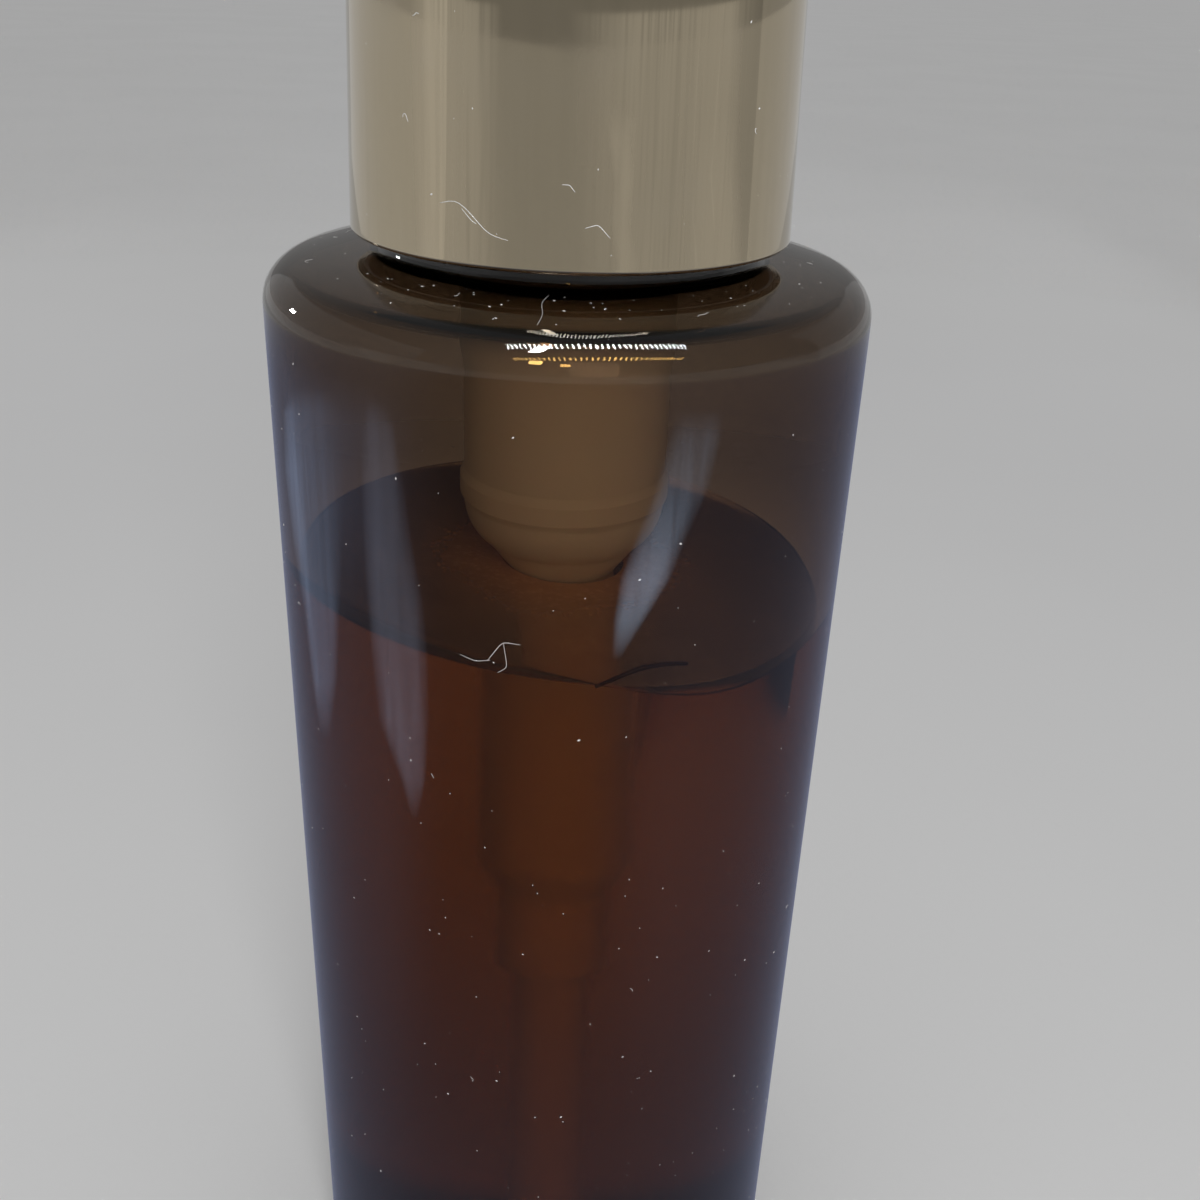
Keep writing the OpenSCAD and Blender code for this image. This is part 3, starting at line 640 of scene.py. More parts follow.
def spring_mesh(p):
    """Round wire wound on a helix with a closed turn at each end.

    At t turns the wire's middle is at angle t and height h(t), which rises one wire in each end turn and
    evenly between them. The section's point at angle b is at radius r + w cos(b) and height h + w sin(b),
    where w is half the wire.
    """
    outer, low, high = reach("return_spring")
    half, turns = p.spring_wire / 2, p.spring_turns
    sides, steps = 16, 40
    t = np.linspace(0, turns, turns * steps + 1)[:, None]
    height = np.interp(t, (0, 1, turns - 1, turns), (low + half, low + 3 * half, high - 3 * half, high - half))
    b = np.linspace(0, TURN, sides, endpoint=False)[None]
    r = outer - half + half * np.cos(b)
    points = np.stack([r * np.cos(TURN * t), r * np.sin(TURN * t), height + half * np.sin(b)], axis=-1)
    first = np.arange((len(t) - 1) * sides).reshape(-1, sides)
    beside = np.roll(first, -1, axis=1)
    quads = np.stack([first, first + sides, beside + sides, beside], axis=-1).reshape(-1, 4)
    last = (len(t) - 1) * sides
    ends = [list(range(sides)), list(range(last + sides - 1, last - 1, -1))]
    smooth = [True] * len(quads) + [False, False]
    return filled_mesh("spring_coil", points, quads.tolist() + ends, smooth)


def head_outline(p):
    """Outline of the pump head: skirt, flare, finger pad with its rounded edge and dish, and the hollow."""
    spout_z = HEAD_TOP - p.dish_h - p.spout_wall - p.spout_bore / 2
    pad_low = spout_z - p.spout_bore / 2 - p.spout_wall + 1.6 * MM
    skirt_z = CHIMNEY_TOP - 1.4 * MM
    ceiling = spout_z - p.spout_bore / 2 - p.head_wall
    roof = HEAD_TOP - p.dish_h - p.head_wall
    rim_r = math.sqrt(p.dish_r ** 2 - (p.dish_r - p.dish_h) ** 2)
    bore = p.skirt_r - p.head_wall
    inner_pad = p.pad_r - p.head_wall
    outside = rounded([
        (bore + 0.4 * MM, skirt_z), (p.skirt_r, skirt_z, 0.3 * MM), (p.skirt_r, ceiling - 3.0 * MM, 3.0 * MM),
        (p.pad_r, pad_low, 2.0 * MM), (p.pad_r, HEAD_TOP, p.pad_edge), (rim_r + 0.3 * MM, HEAD_TOP, 0.2 * MM),
        (rim_r - 0.5 * MM, HEAD_TOP - 0.1 * MM)], 8)
    t = np.linspace(rim_r - 0.8 * MM, 0, 14)
    dish = np.stack([t, HEAD_TOP + p.dish_r - p.dish_h - np.sqrt(p.dish_r ** 2 - t ** 2)], axis=1)
    inside = rounded([
        (0, roof), (inner_pad - 1.0 * MM, roof), (inner_pad, roof - 1.0 * MM), (inner_pad, pad_low + 0.4 * MM),
        (bore, ceiling - 2.6 * MM), (bore, skirt_z, 0.2 * MM), (bore + 0.3 * MM, skirt_z)], 4)
    return np.concatenate([outside, dish, inside]), spout_z


def post_mesh(p):
    """The head's inner post: a plain tube from the mixing cap's level up to the pad."""
    outer, top = 6.5 * MM, HEAD_TOP - p.dish_h - 0.6 * MM
    inner = outer - p.head_wall
    outline = rounded([
        (outer - 0.5 * MM, POST_Z), (outer, POST_Z, 0.2 * MM), (outer, top), (inner, top),
        (inner, POST_Z, 0.2 * MM), (outer - 0.6 * MM, POST_Z)], 4)
    return turned_mesh("head_post", refined(outline), 128)


def spout_mesh(p, spout_z):
    """The spout: a tube with a rounded lip along +X, turned about its own axis and laid down."""
    out_r = p.spout_bore / 2 + p.spout_wall
    bore_r = p.spout_bore / 2
    start = p.skirt_r - 2.5 * MM
    outline = rounded([
        (0, start + 1.0 * MM), (0.0, start), (out_r, start), (out_r, SPOUT_REACH, 0.5 * MM),
        (bore_r, SPOUT_REACH, 0.35 * MM), (bore_r, start + 1.0 * MM), (0, start + 1.0 * MM)], 6)
    mesh = turned_mesh("spout", refined(outline[1:]), segments=96)
    mesh.transform(Matrix(((0, 0, 1, 0), (0, 1, 0, 0), (-1, 0, 0, spout_z), (0, 0, 0, 1))))
    return mesh


# ---------------------------------------------------------------- dust and lint

FIBRE_STEPS = 14
FIBRE_SIDES = 5


def on_wall(s, a, z):
    """Points of the bottle's wall at angles a and heights z, and the outward direction there."""
    out = np.stack([np.cos(a), np.sin(a), np.zeros_like(a)], axis=-1)
    return out * (BOTTLE_R - s.skin) + np.stack([0 * a, 0 * a, z], axis=-1), out


def on_cap(s, a, z):
    """Points of the overcap's side at angles a and heights z, and the outward direction there."""
    out = np.stack([np.cos(a), np.sin(a), np.zeros_like(a)], axis=-1)
    return out * cap_radius(s, z)[..., None] + np.stack([0 * a, 0 * a, z], axis=-1), out


def on_shoulder(s, a, r):
    """Points of the domed shoulder at angles a and radii r, and the outward direction there."""
    dome_c, dome_r, _ = shoulder_circles(s)
    radius = dome_r - s.skin
    z = dome_c[1] + np.sqrt(radius ** 2 - (r - dome_c[0]) ** 2)
    flat = np.stack([np.cos(a), np.sin(a)], axis=-1)
    out = np.concatenate([flat * ((r - dome_c[0]) / radius)[..., None], ((z - dome_c[1]) / radius)[..., None]], -1)
    return np.concatenate([flat * r[..., None], z[..., None]], -1), out


def specks_mesh(name, places, out, size, turn):
    """Specks of dust: one squashed octahedron for each place, its short axis along the outward direction.

    A corner is place + size (c1 side1 + c2 side2 + 0.3 c3 out), with side1 and side2 at right angles to
    out and turned about it by the speck's own angle."""
    up = np.tile([0.0, 0.0, 1.0], (len(places), 1)) + 1e-3 * np.roll(out, 1, axis=1)
    side1 = np.cross(up, out)
    side1 /= np.linalg.norm(side1, axis=1, keepdims=True)
    side2 = np.cross(out, side1)
    c, n = np.cos(turn)[:, None], np.sin(turn)[:, None]
    first, second = c * side1 + n * side2, c * side2 - n * side1
    corners = np.array([(1, 0, 0), (0, 0.6, 0), (-1, 0, 0), (0, -0.6, 0), (0, 0, 0.3), (0, 0, -0.3)])
    axes = np.stack([first, second, out], axis=1)
    verts = places[:, None, :] + size[:, None, None] * np.einsum("kc,ncd->nkd", corners, axes)
    pattern = np.array([(0, 1, 4), (1, 2, 4), (2, 3, 4), (3, 0, 4), (1, 0, 5), (2, 1, 5), (3, 2, 5), (0, 3, 5)])
    faces = (pattern[None] + 6 * np.arange(len(places))[:, None, None]).reshape(-1, 3)
    return filled_mesh(name, verts, faces.tolist())


def fibres_mesh(name, paths, outs, radius):
    """Lint: tubes with a few sides along the paths. A ring point is p + radius (cos t out + sin t across)
    with across at right angles to the path and to the outward direction; the ends are closed."""
    paths, outs = np.asarray(paths), np.asarray(outs)
    count, steps, _ = paths.shape
    along = np.gradient(paths, axis=1)
    along /= np.linalg.norm(along, axis=2, keepdims=True)
    across = np.cross(along, outs)
    across /= np.linalg.norm(across, axis=2, keepdims=True)
    lift = np.cross(across, along)
    t = np.arange(FIBRE_SIDES) * (TURN / FIBRE_SIDES)
    taper = radius * (0.55 + 0.45 * np.sin(math.pi * np.linspace(0.08, 0.92, steps)))[None, :, None, None]
    out = np.cos(t)[:, None] * lift[:, :, None] + np.sin(t)[:, None] * across[:, :, None]
    ring = paths[:, :, None] + taper * out
    k, n = np.arange(FIBRE_SIDES), FIBRE_SIDES
    start = (np.arange(count)[:, None, None] * steps + np.arange(steps - 1)[None, :, None]) * n
    a, b = start + k, start + (k + 1) % n
    sides = np.stack([a, b, b + n, a + n], axis=-1).reshape(-1, 4).tolist()
    first = (np.arange(count)[:, None] * steps * n + k[::-1]).tolist()
    last = ((np.arange(count)[:, None] * steps + steps - 1) * n + k).tolist()
    return filled_mesh(name, ring, sides + first + last, smooth=True)


def smooth_path(points):
    """Even samples of the line through points given in degrees and millimetres, its corners softened twice."""
    points = np.array([(math.radians(a), v * MM) for a, v in points])
    t = np.linspace(0, len(points) - 1, FIBRE_STEPS)
    path = np.stack([np.interp(t, np.arange(len(points)), points[:, i]) for i in range(points.shape[1])], 1)
    for _ in range(2):
        path[1:-1] = (path[:-2] + 2 * path[1:-1] + path[2:]) / 4
    return path


def random_fibres(rng, count, a_range, v_range, reach_a, reach_v):
    """Wandering paths of (angle, height or radius) with seeded starts and bends."""
    start = np.stack([rng.uniform(*a_range, count), rng.uniform(*v_range, count)], 1)
    lean = rng.uniform(0, TURN, count)
    bend = rng.normal(0, 1.4, count)
    size = rng.uniform(0.35, 1.0, count)
    t = np.linspace(0, 1, FIBRE_STEPS)[None, :]
    heading = lean[:, None] + bend[:, None] * t + 0.5 * np.sin(7 * t + lean[:, None])
    step = size[:, None] / (FIBRE_STEPS - 1)
    return np.stack([start[:, :1] + reach_a * np.cumsum(np.cos(heading) * step, 1),
                     start[:, 1:] + reach_v * np.cumsum(np.sin(heading) * step, 1)], -1)


# ---------------------------------------------------------------- finishes


def place_node(tree, kind, settings=None, **values):
    """Adds a node. Each value is linked where it is a socket and set where it is a number; the name of an
    input is written with _ for a space."""
    node = tree.nodes.new(kind)
    for name, value in (settings or {}).items():
        setattr(node, name, value)
    for name, value in values.items():
        socket = node.inputs[name.replace("_", " ")]
        if isinstance(value, bpy.types.NodeSocket):
            tree.links.new(value, socket)
        else:
            socket.default_value = value
    return node


def maths(tree, operation, a, b=None):
    """Output of a Math node."""
    node = tree.nodes.new("ShaderNodeMath")
    node.operation = operation
    for socket, value in zip(node.inputs, (a, b)):
        if value is None:
            continue
        if isinstance(value, bpy.types.NodeSocket):
            tree.links.new(value, socket)
        else:
            socket.default_value = value
    return node.outputs[0]


def ranged(tree, value, low, high, to_low=0.0, to_high=1.0, smooth=True):
    """Output of a Map Range node, held inside its ends."""
    settings = {"interpolation_type": "SMOOTHSTEP" if smooth else "LINEAR"}
    node = place_node(tree, "ShaderNodeMapRange", settings, Value=value, From_Min=low, From_Max=high,
                      To_Min=to_low, To_Max=to_high)
    return node.outputs["Result"]


def blended(tree, share, first, second):
    """Colour that goes from first to second with share."""
    node = tree.nodes.new("ShaderNodeMix")
    node.data_type = "RGBA"
    for socket, value in ((node.inputs[0], share), (node.inputs[6], first), (node.inputs[7], second)):
        if isinstance(value, bpy.types.NodeSocket):
            tree.links.new(value, socket)
        elif isinstance(value, (int, float)):
            socket.default_value = value
        else:
            socket.default_value = (*value, 1.0)
    return node.outputs[2]


def own_coordinates(tree, stretch=(1, 1, 1)):
    """The piece's own coordinates, stretched."""
    place = tree.nodes.new("ShaderNodeTexCoord").outputs["Object"]
    return place_node(tree, "ShaderNodeMapping", Vector=place, Scale=stretch).outputs["Vector"]


def noise(tree, vector, scale, detail=2.0, roughness=0.5):
    """Grey noise from 0 to 1."""
    return place_node(tree, "ShaderNodeTexNoise", Vector=vector, Scale=scale, Detail=detail,
                      Roughness=roughness).outputs[0]


def effect_group(name, inputs, outputs, build):
    """Shader node group, made once. build gets the tree and its input sockets and returns its outputs."""
    if name in bpy.data.node_groups:
        return bpy.data.node_groups[name]
    tree = bpy.data.node_groups.new(name, "ShaderNodeTree")
    for label, default in inputs:
        tree.interface.new_socket(label, in_out="INPUT", socket_type="NodeSocketFloat").default_value = default
    for label in outputs:
        tree.interface.new_socket(label, in_out="OUTPUT", socket_type="NodeSocketFloat")
    start, end = tree.nodes.new("NodeGroupInput"), tree.nodes.new("NodeGroupOutput")
    made = build(tree, *[start.outputs[label] for label, _ in inputs])
    for label, socket in zip(outputs, made):
        tree.links.new(socket, end.inputs[label])
    return tree


def moulded_grain():
    """Moulded plastic: Grain is a fine even roughness, Flow is a slow change of shade along the flow."""
    def build(tree, scale, flow):
        vector = own_coordinates(tree)
        fine = noise(tree, vector, scale, 3.0, 0.6)
        slow = noise(tree, own_coordinates(tree, (1, 1, 0.35)), flow, 2.0, 0.5)
        return fine, ranged(tree, slow, 0.35, 0.65)
    return effect_group("moulded_grain", (("Scale", 1800.0), ("Flow", 90.0)), ("Grain", "Flow"), build)


def handling_marks():
    """Marks of handling: Smudge is a soft patchy film."""
    def build(tree, scale):
        film = noise(tree, own_coordinates(tree), scale, 5.0, 0.62)
        return (ranged(tree, film, 0.48, 0.68),)
    return effect_group("handling_marks", (("Scale", 60.0),), ("Smudge",), build)


def upright_waves():
    """Waves of a drawn or blown skin: Wave changes slowly round the piece and hardly along its height,
    Lines is a finer set of upright lines."""
    def build(tree, around, along, lines):
        vector = tree.nodes.new("ShaderNodeTexCoord").outputs["Object"]
        stretch = place_node(tree, "ShaderNodeCombineXYZ", X=around, Y=around, Z=along).outputs[0]
        product = place_node(tree, "ShaderNodeVectorMath", {"operation": "MULTIPLY"})
        tree.links.new(vector, product.inputs[0])
        tree.links.new(stretch, product.inputs[1])
        wave = noise(tree, product.outputs[0], 1.0, 1.5, 0.45)
        fine = noise(tree, product.outputs[0], lines, 2.0, 0.55)
        return wave, fine
    return effect_group("upright_waves", (("Around", 90.0), ("Along", 12.0), ("Lines", 9.0)),
                        ("Wave", "Lines"), build)


def use_group(tree, group, **values):
    """Places a node group with its own values."""
    node = tree.nodes.new("ShaderNodeGroup")
    node.node_tree = group
    for name, value in values.items():
        node.inputs[name].default_value = value
    return node.outputs


def new_material(name, **values):
    """Node material with a Principled shader whose plain values are set on its sockets."""
    material = bpy.data.materials.new(name)
    material.use_nodes = True
    tree = material.node_tree
    tree.nodes.clear()
    shader = place_node(tree, "ShaderNodeBsdfPrincipled", **values)
    output = place_node(tree, "ShaderNodeOutputMaterial", Surface=shader.outputs["BSDF"])
    return material, tree, shader, output


def raise_surface(tree, shader, height, depth):
    """Feeds the shader's normal from a Bump node: the height from 0 to 1 is depth metres."""
    node = place_node(tree, "ShaderNodeBump", Strength=1.0, Distance=depth, Height=height)
    tree.links.new(node.outputs["Normal"], shader.inputs["Normal"])


def absorption(through, depth):
    """Density and colour of a volume that lets through the given share of light over a depth.

    Light falls as exp(-density (1 - colour) depth), so 1 - colour = -ln(share) / (density depth), with the
    density set so that the strongest channel has colour 0.05.
    """
    rate = [-math.log(max(t, 1e-4)) / depth for t in through]
    density = max(rate) / 0.95
    return density, [1 - r / density for r in rate]


def fill_with(tree, output, through, depth):
    """Gives a clear material the colour of its depth."""
    density, tint = absorption(through, depth)
    volume = place_node(tree, "ShaderNodeVolumeAbsorption", Color=(*tint, 1), Density=density)
    tree.links.new(volume.outputs["Volume"], output.inputs["Volume"])


def let_lamps_in(tree, shader, output):
    """Lets the light of lamps straight through a clear material, so that it lights what is inside."""
    lamps = tree.nodes.new("ShaderNodeLightPath").outputs["Is Shadow Ray"]
    clear = tree.nodes.new("ShaderNodeBsdfTransparent")
    mix = place_node(tree, "ShaderNodeMixShader", Fac=lamps)
    tree.links.new(shader.outputs["BSDF"], mix.inputs[1])
    tree.links.new(clear.outputs[0], mix.inputs[2])
    tree.links.new(mix.outputs[0], output.inputs["Surface"])


def amber_glass(s):
    """Clear amber plastic: colour in its depth, a film of smudges in its roughness, waves in its outside."""
    material, tree, shader, output = new_material(
        "clear_amber", Base_Color=(1, 1, 1, 1), IOR=1.53, Transmission_Weight=1.0)
    marks = use_group(tree, handling_marks(), Scale=70.0)
    rough = maths(tree, "ADD", maths(tree, "MULTIPLY", marks["Smudge"], 0.02), 0.003)
    tree.links.new(rough, shader.inputs["Roughness"])
    waves = use_group(tree, upright_waves(), Around=70.0, Along=14.0, Lines=3.0)
    height = maths(tree, "ADD", waves["Wave"], maths(tree, "MULTIPLY", waves["Lines"], 0.12))
    raise_surface(tree, shader, height, s.amber_waves)
    fill_with(tree, output, s.amber, s.wall)
    let_lamps_in(tree, shader, output)
    return material


def brown_oil(o):
    """Brown oil with a little cloud, which drifts in slow swirls."""
    material, tree, shader, output = new_material("brown_oil", IOR=1.46, Transmission_Weight=0.95)
    swirl = noise(tree, own_coordinates(tree), 40.0, 3.0)
    tree.links.new(blended(tree, swirl, (1.0, 0.86, 0.70), (1.0, 0.94, 0.84)), shader.inputs["Base Color"])
    tree.links.new(ranged(tree, swirl, 0.3, 0.7, 0.13, 0.22), shader.inputs["Roughness"])
    raise_surface(tree, shader, swirl, 0.02 * MM)
    fill_with(tree, output, o.tint, 10.0 * MM)
    let_lamps_in(tree, shader, output)
    return material


def smeared_oil():
    """Drying oil: dark, glossy and a little streaked."""
    material, tree, shader, _ = new_material("smeared_oil", IOR=1.46)
    streak = noise(tree, own_coordinates(tree, (1, 1, 4)), 400.0, 2.0)
    tree.links.new(blended(tree, streak, (0.045, 0.022, 0.010), (0.09, 0.045, 0.020)), shader.inputs["Base Color"])
    tree.links.new(ranged(tree, streak, 0.3, 0.7, 0.10, 0.25), shader.inputs["Roughness"])
    raise_surface(tree, shader, streak, 0.02 * MM)
    return material


def bubbles_and_pump_reflection(o):
    """Thin film of fine bubbles, with a painted reflection of the pump: near the pump it is denser and more orange.
    """
    material, tree, shader, _ = new_material("bubbles_and_pump_reflection", Roughness=0.55, IOR=1.33, Specular_IOR_Level=0.2)
    far = place_node(tree, "ShaderNodeVectorMath", {"operation": "LENGTH"})
    tree.links.new(own_coordinates(tree, (1, 1, 0)), far.inputs[0])
    swirl = noise(tree, own_coordinates(tree), 160.0, 4.0, 0.6)
    bubbles = place_node(tree, "ShaderNodeTexVoronoi", Vector=own_coordinates(tree), Scale=1400.0).outputs["Distance"]
    # painted reflection of the pump in the oil's top: more orange and denser near the pump
    near = ranged(tree, far.outputs["Value"], 0.008, 0.017, 1.0, 0.0)
    tree.links.new(blended(tree, near, (0.70, 0.52, 0.38), (0.86, 0.55, 0.30)), shader.inputs["Base Color"])
    cover = maths(tree, "ADD", ranged(tree, swirl, 0.3, 0.7, 0.8 * o.film, 1.2 * o.film),
                  maths(tree, "MULTIPLY", near, 0.9 * o.film))
    open_cells = ranged(tree, bubbles, 0.1, 0.5, 1.0, 0.85)
    tree.links.new(maths(tree, "MULTIPLY", cover, open_cells), shader.inputs["Alpha"])
    raise_surface(tree, shader, bubbles, 0.02 * MM)
    return material


def champagne_skin(s):
    """Metallised champagne skin: upright waves and lines, smudges, and a clear lacquer."""
    material, tree, shader, _ = new_material(
        "champagne_skin", Metallic=1.0, Coat_Weight=0.35, Coat_Roughness=0.06, Coat_IOR=1.45)
    waves = use_group(tree, upright_waves(), Around=120.0, Along=5.0, Lines=7.0)
    marks = use_group(tree, handling_marks(), Scale=55.0)
    dark = tuple(0.93 * c for c in s.champagne)
    light = tuple(min(1.0, 1.05 * c) for c in s.champagne)
    shade = blended(tree, waves["Lines"], dark, light)
    pale = tuple(min(1.0, 0.9 * c + 0.05) for c in s.champagne)
    shade = blended(tree, maths(tree, "MULTIPLY", marks["Smudge"], 0.5), shade, pale)
    tree.links.new(shade, shader.inputs["Base Color"])
    rough = maths(tree, "ADD", maths(tree, "MULTIPLY", marks["Smudge"], 0.05), 0.035)
    tree.links.new(rough, shader.inputs["Roughness"])
    height = maths(tree, "ADD", waves["Wave"], maths(tree, "MULTIPLY", waves["Lines"], 0.05))
    raise_surface(tree, shader, height, s.waves)
    return material


def moulded_plastic(name, tint, rough, depth, subsurface=0.0):
    """Injection-moulded plastic: fine grain, a slow change of shade and a little sheen where it is handled."""
    material, tree, shader, _ = new_material(
        name, Subsurface_Weight=subsurface, Subsurface_Radius=(0.003, 0.002, 0.0015), Subsurface_Scale=1.0,
        IOR=1.49)
    grain = use_group(tree, moulded_grain(), Scale=1800.0, Flow=110.0)
    marks = use_group(tree, handling_marks(), Scale=90.0)
    dark = tuple(0.94 * c for c in tint)
    shade = blended(tree, grain["Flow"], dark, tint)
    tree.links.new(shade, shader.inputs["Base Color"])
    tree.links.new(ranged(tree, marks["Smudge"], 0, 1, rough, rough * 0.72), shader.inputs["Roughness"])
    raise_surface(tree, shader, grain["Grain"], depth)
    return material


def bright_steel():
    """Polished stainless steel with drawn lines."""
    material, tree, shader, _ = new_material("bright_steel", Metallic=1.0)
    waves = use_group(tree, upright_waves(), Around=900.0, Along=400.0, Lines=4.0)
    tree.links.new(blended(tree, waves["Lines"], (0.56, 0.57, 0.58), (0.70, 0.70, 0.69)), shader.inputs["Base Color"])
    tree.links.new(ranged(tree, waves["Wave"], 0.3, 0.7, 0.14, 0.26), shader.inputs["Roughness"])
    raise_surface(tree, shader, waves["Lines"], 0.004 * MM)
    return material


def foam_ring():
    """White closed-cell foam: small round cells with thin walls, with painted shade in their hollows."""
    material, tree, shader, _ = new_material("foam_ring", Roughness=0.75, IOR=1.4)
    cells = place_node(tree, "ShaderNodeTexVoronoi", Vector=own_coordinates(tree), Scale=2600.0).outputs["Distance"]
    pit = ranged(tree, cells, 0.15, 0.6)
    # painted shade: darker in the hollow of each cell, lighter on its walls
    tree.links.new(blended(tree, pit, (0.72, 0.71, 0.68), (0.88, 0.87, 0.84)), shader.inputs["Base Color"])
    raise_surface(tree, shader, pit, 0.06 * MM)
    return material


def soft_rubber():
    """Translucent silicone with a satin face."""
    material, tree, shader, _ = new_material(
        "soft_rubber", Subsurface_Weight=0.3, Subsurface_Radius=(0.002, 0.002, 0.002), Subsurface_Scale=1.0)
    grain = use_group(tree, moulded_grain(), Scale=1200.0, Flow=200.0)
    tree.links.new(blended(tree, grain["Flow"], (0.80, 0.80, 0.78), (0.88, 0.88, 0.86)), shader.inputs["Base Color"])
    tree.links.new(ranged(tree, grain["Grain"], 0.3, 0.7, 0.42, 0.6), shader.inputs["Roughness"])
    raise_surface(tree, shader, grain["Grain"], 0.01 * MM)
    return material


def screen_fabric():
    """Fine plain weave: height = |sin| ridges of both threads, crossing over and under, with painted shade where the
    weave lies low.
    """
    material, tree, shader, _ = new_material("screen_fabric", Roughness=0.5)
    parts = place_node(tree, "ShaderNodeSeparateXYZ", Vector=own_coordinates(tree, (10500, 10500, 1)))
    ridges = [maths(tree, "ABSOLUTE", maths(tree, "SINE", parts.outputs[i])) for i in (0, 1)]
    height = maths(tree, "MAXIMUM", *ridges)
    # painted shade: darker where the weave lies low, lighter on its ridges
    tree.links.new(blended(tree, height, (0.66, 0.66, 0.64), (0.90, 0.90, 0.88)), shader.inputs["Base Color"])
    raise_surface(tree, shader, height, 0.05 * MM)
    return material


def milky_tube():
    """Milky polyethylene of the dip tube, with drawn lines along it."""
    material, tree, shader, _ = new_material(
        "milky_tube", Subsurface_Weight=0.4, Subsurface_Radius=(0.003, 0.0025, 0.002), Subsurface_Scale=1.0)
    waves = use_group(tree, upright_waves(), Around=500.0, Along=20.0, Lines=4.0)
    tree.links.new(blended(tree, waves["Wave"], (0.80, 0.77, 0.68), (0.88, 0.85, 0.76)), shader.inputs["Base Color"])
    tree.links.new(ranged(tree, waves["Lines"], 0.3, 0.7, 0.26, 0.4), shader.inputs["Roughness"])
    raise_surface(tree, shader, waves["Lines"], 0.01 * MM)
    return material


def pale_dust():
    """Pale lint and dust."""
    material, tree, shader, _ = new_material("pale_dust", Roughness=0.9)
    shade = noise(tree, own_coordinates(tree), 300.0, 1.0)
    tree.links.new(blended(tree, shade, (0.55, 0.54, 0.52), (0.92, 0.92, 0.92)), shader.inputs["Base Color"])
    return material


# ---------------------------------------------------------------- operators


class PUMPBOTTLE_OT_bottle(Operator):
    """Builds the clear amber bottle"""

    bl_idname = "pumpbottle.bottle"
    bl_label = "Bottle"

    def execute(self, context):
        s = context.scene.pumpbottle_bottle
        add_piece("bottle_glass", bottle_mesh(s), amber_glass(s), "bottle", "bottle_plastic", "bottle")
        return {"FINISHED"}


class PUMPBOTTLE_OT_oil(Operator):
    """Fills the bottle with oil up to its line"""

    bl_idname = "pumpbottle.oil"
    bl_label = "Oil"

    def execute(self, context):
        s, o = context.scene.pumpbottle_bottle, context.scene.pumpbottle_oil
        mesh = turned_mesh("oil_body", oil_outline(s, o), segments=256, bump=oil_bump(s, o), sharp=70.0)
        add_piece("oil_body", mesh, brown_oil(o), "bottle", "oil", "oil")
        add_piece("bubbles_and_pump_reflection", film_mesh(s, o), bubbles_and_pump_reflection(o), "bottle", "oil")
        return {"FINISHED"}


class PUMPBOTTLE_OT_overcap(Operator):
    """Builds the champagne overcap"""

    bl_idname = "pumpbottle.overcap"
    bl_label = "Overcap"

    def execute(self, context):
        s, p = context.scene.pumpbottle_cap, context.scene.pumpbottle_pump
        bare = moulded_plastic("cap_inner_plastic", tuple(p.ivory), 0.4, 0.008 * MM)
        add_piece("overcap_shell", cap_mesh(s), [champagne_skin(s), bare], "overcap", "champagne_metallised",
                  "overcap")
        return {"FINISHED"}


class PUMPBOTTLE_OT_pump(Operator):
    """Builds the foam pump's outer pieces and finishes its inner ones"""

    bl_idname = "pumpbottle.pump"
    bl_label = "Foam pump"

    def execute(self, context):
        p = context.scene.pumpbottle_pump
        ivory = moulded_plastic("ivory_plastic", tuple(p.ivory), 0.32, 0.01 * MM, 0.08)
        natural = moulded_plastic("natural_plastic", tuple(p.natural), 0.42, 0.012 * MM, 0.25)
        tube, steel, rubber, fabric = milky_tube(), bright_steel(), soft_rubber(), screen_fabric()
        head, spout_z = head_outline(p)
        add_piece("housing_shell", housing_mesh(p), natural, "pump", "natural_plastic", "pump_housing")
        add_piece("dip_tube_wall", tube_mesh(p), tube, "pump", "tube_plastic", "dip_tube")
        add_piece("guide_chimney", guide_mesh(p), ivory, "pump", "pump_plastic", "guide_tube")
        add_piece("collar_ring", collar_mesh(p), ivory, "collar", "pump_plastic", "collar")
        add_piece("head_shell", turned_mesh("head_shell", refined(head, 2 * MM), 224), ivory, "head",
                  "pump_plastic", "actuator")
        add_piece("head_spout", spout_mesh(p, spout_z), ivory, "head", "pump_plastic")
        add_piece("head_post", post_mesh(p), ivory, "head", "pump_plastic")
        coil = add_piece("spring_coil", spring_mesh(p), steel, "pump", "steel", "return_spring")
        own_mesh(coil)
        for nodes, material in ((("ball_cage", "liquid_piston", "foam_cartridge"), natural),
                                (("air_piston", "piston_stem", "mixing_cap"), ivory),
                                (("inlet_ball", "outlet_ball"), steel),
                                (("lower_screen", "upper_screen"), fabric),
                                (("air_valve",), rubber), (("neck_gasket",), foam_ring())):
            for node in nodes:
                finish_node(node, material)
        return {"FINISHED"}


# lint on the wall and on the overcap: angle in degrees and height in millimetres of points along each fibre
WALL_LINT = (((-107.3, 97.6), (-104.5, 97.2), (-101.9, 97.5)), ((-102.4, 97.4), (-99.8, 99.3), (-96.7, 99.2)),
             ((-99.6, 99.2), (-98.9, 97.0), (-100.6, 96.4)))
CAP_LINT = (((-121.3, 131.8), (-117.0, 132.2), (-113.4, 131.4), (-109.0, 129.9), (-104.2, 129.6)),
            ((-115.5, 131.6), (-113.0, 130.8), (-111.8, 130.6)), ((-87.0, 130.8), (-84.0, 131.1), (-81.3, 130.1)),
            ((-92.3, 133.9), (-90.6, 133.9), (-89.4, 133.4)))
# hair on the shoulder: angle in degrees and distance from the axis in millimetres
SHOULDER_HAIR = ((-95.0, 18.4), (-95.3, 19.2), (-96.0, 20.3), (-95.7, 21.3), (-94.9, 22.4), (-95.1, 23.5),
                 (-95.5, 24.4))
# dark smear that the oil has left inside the wall, above its line: angle and height
OIL_SMEAR = ((-83.5, 94.9), (-80.0, 95.6), (-76.5, 96.3), (-73.0, 96.6), (-69.5, 96.5), (-66.0, 96.2))
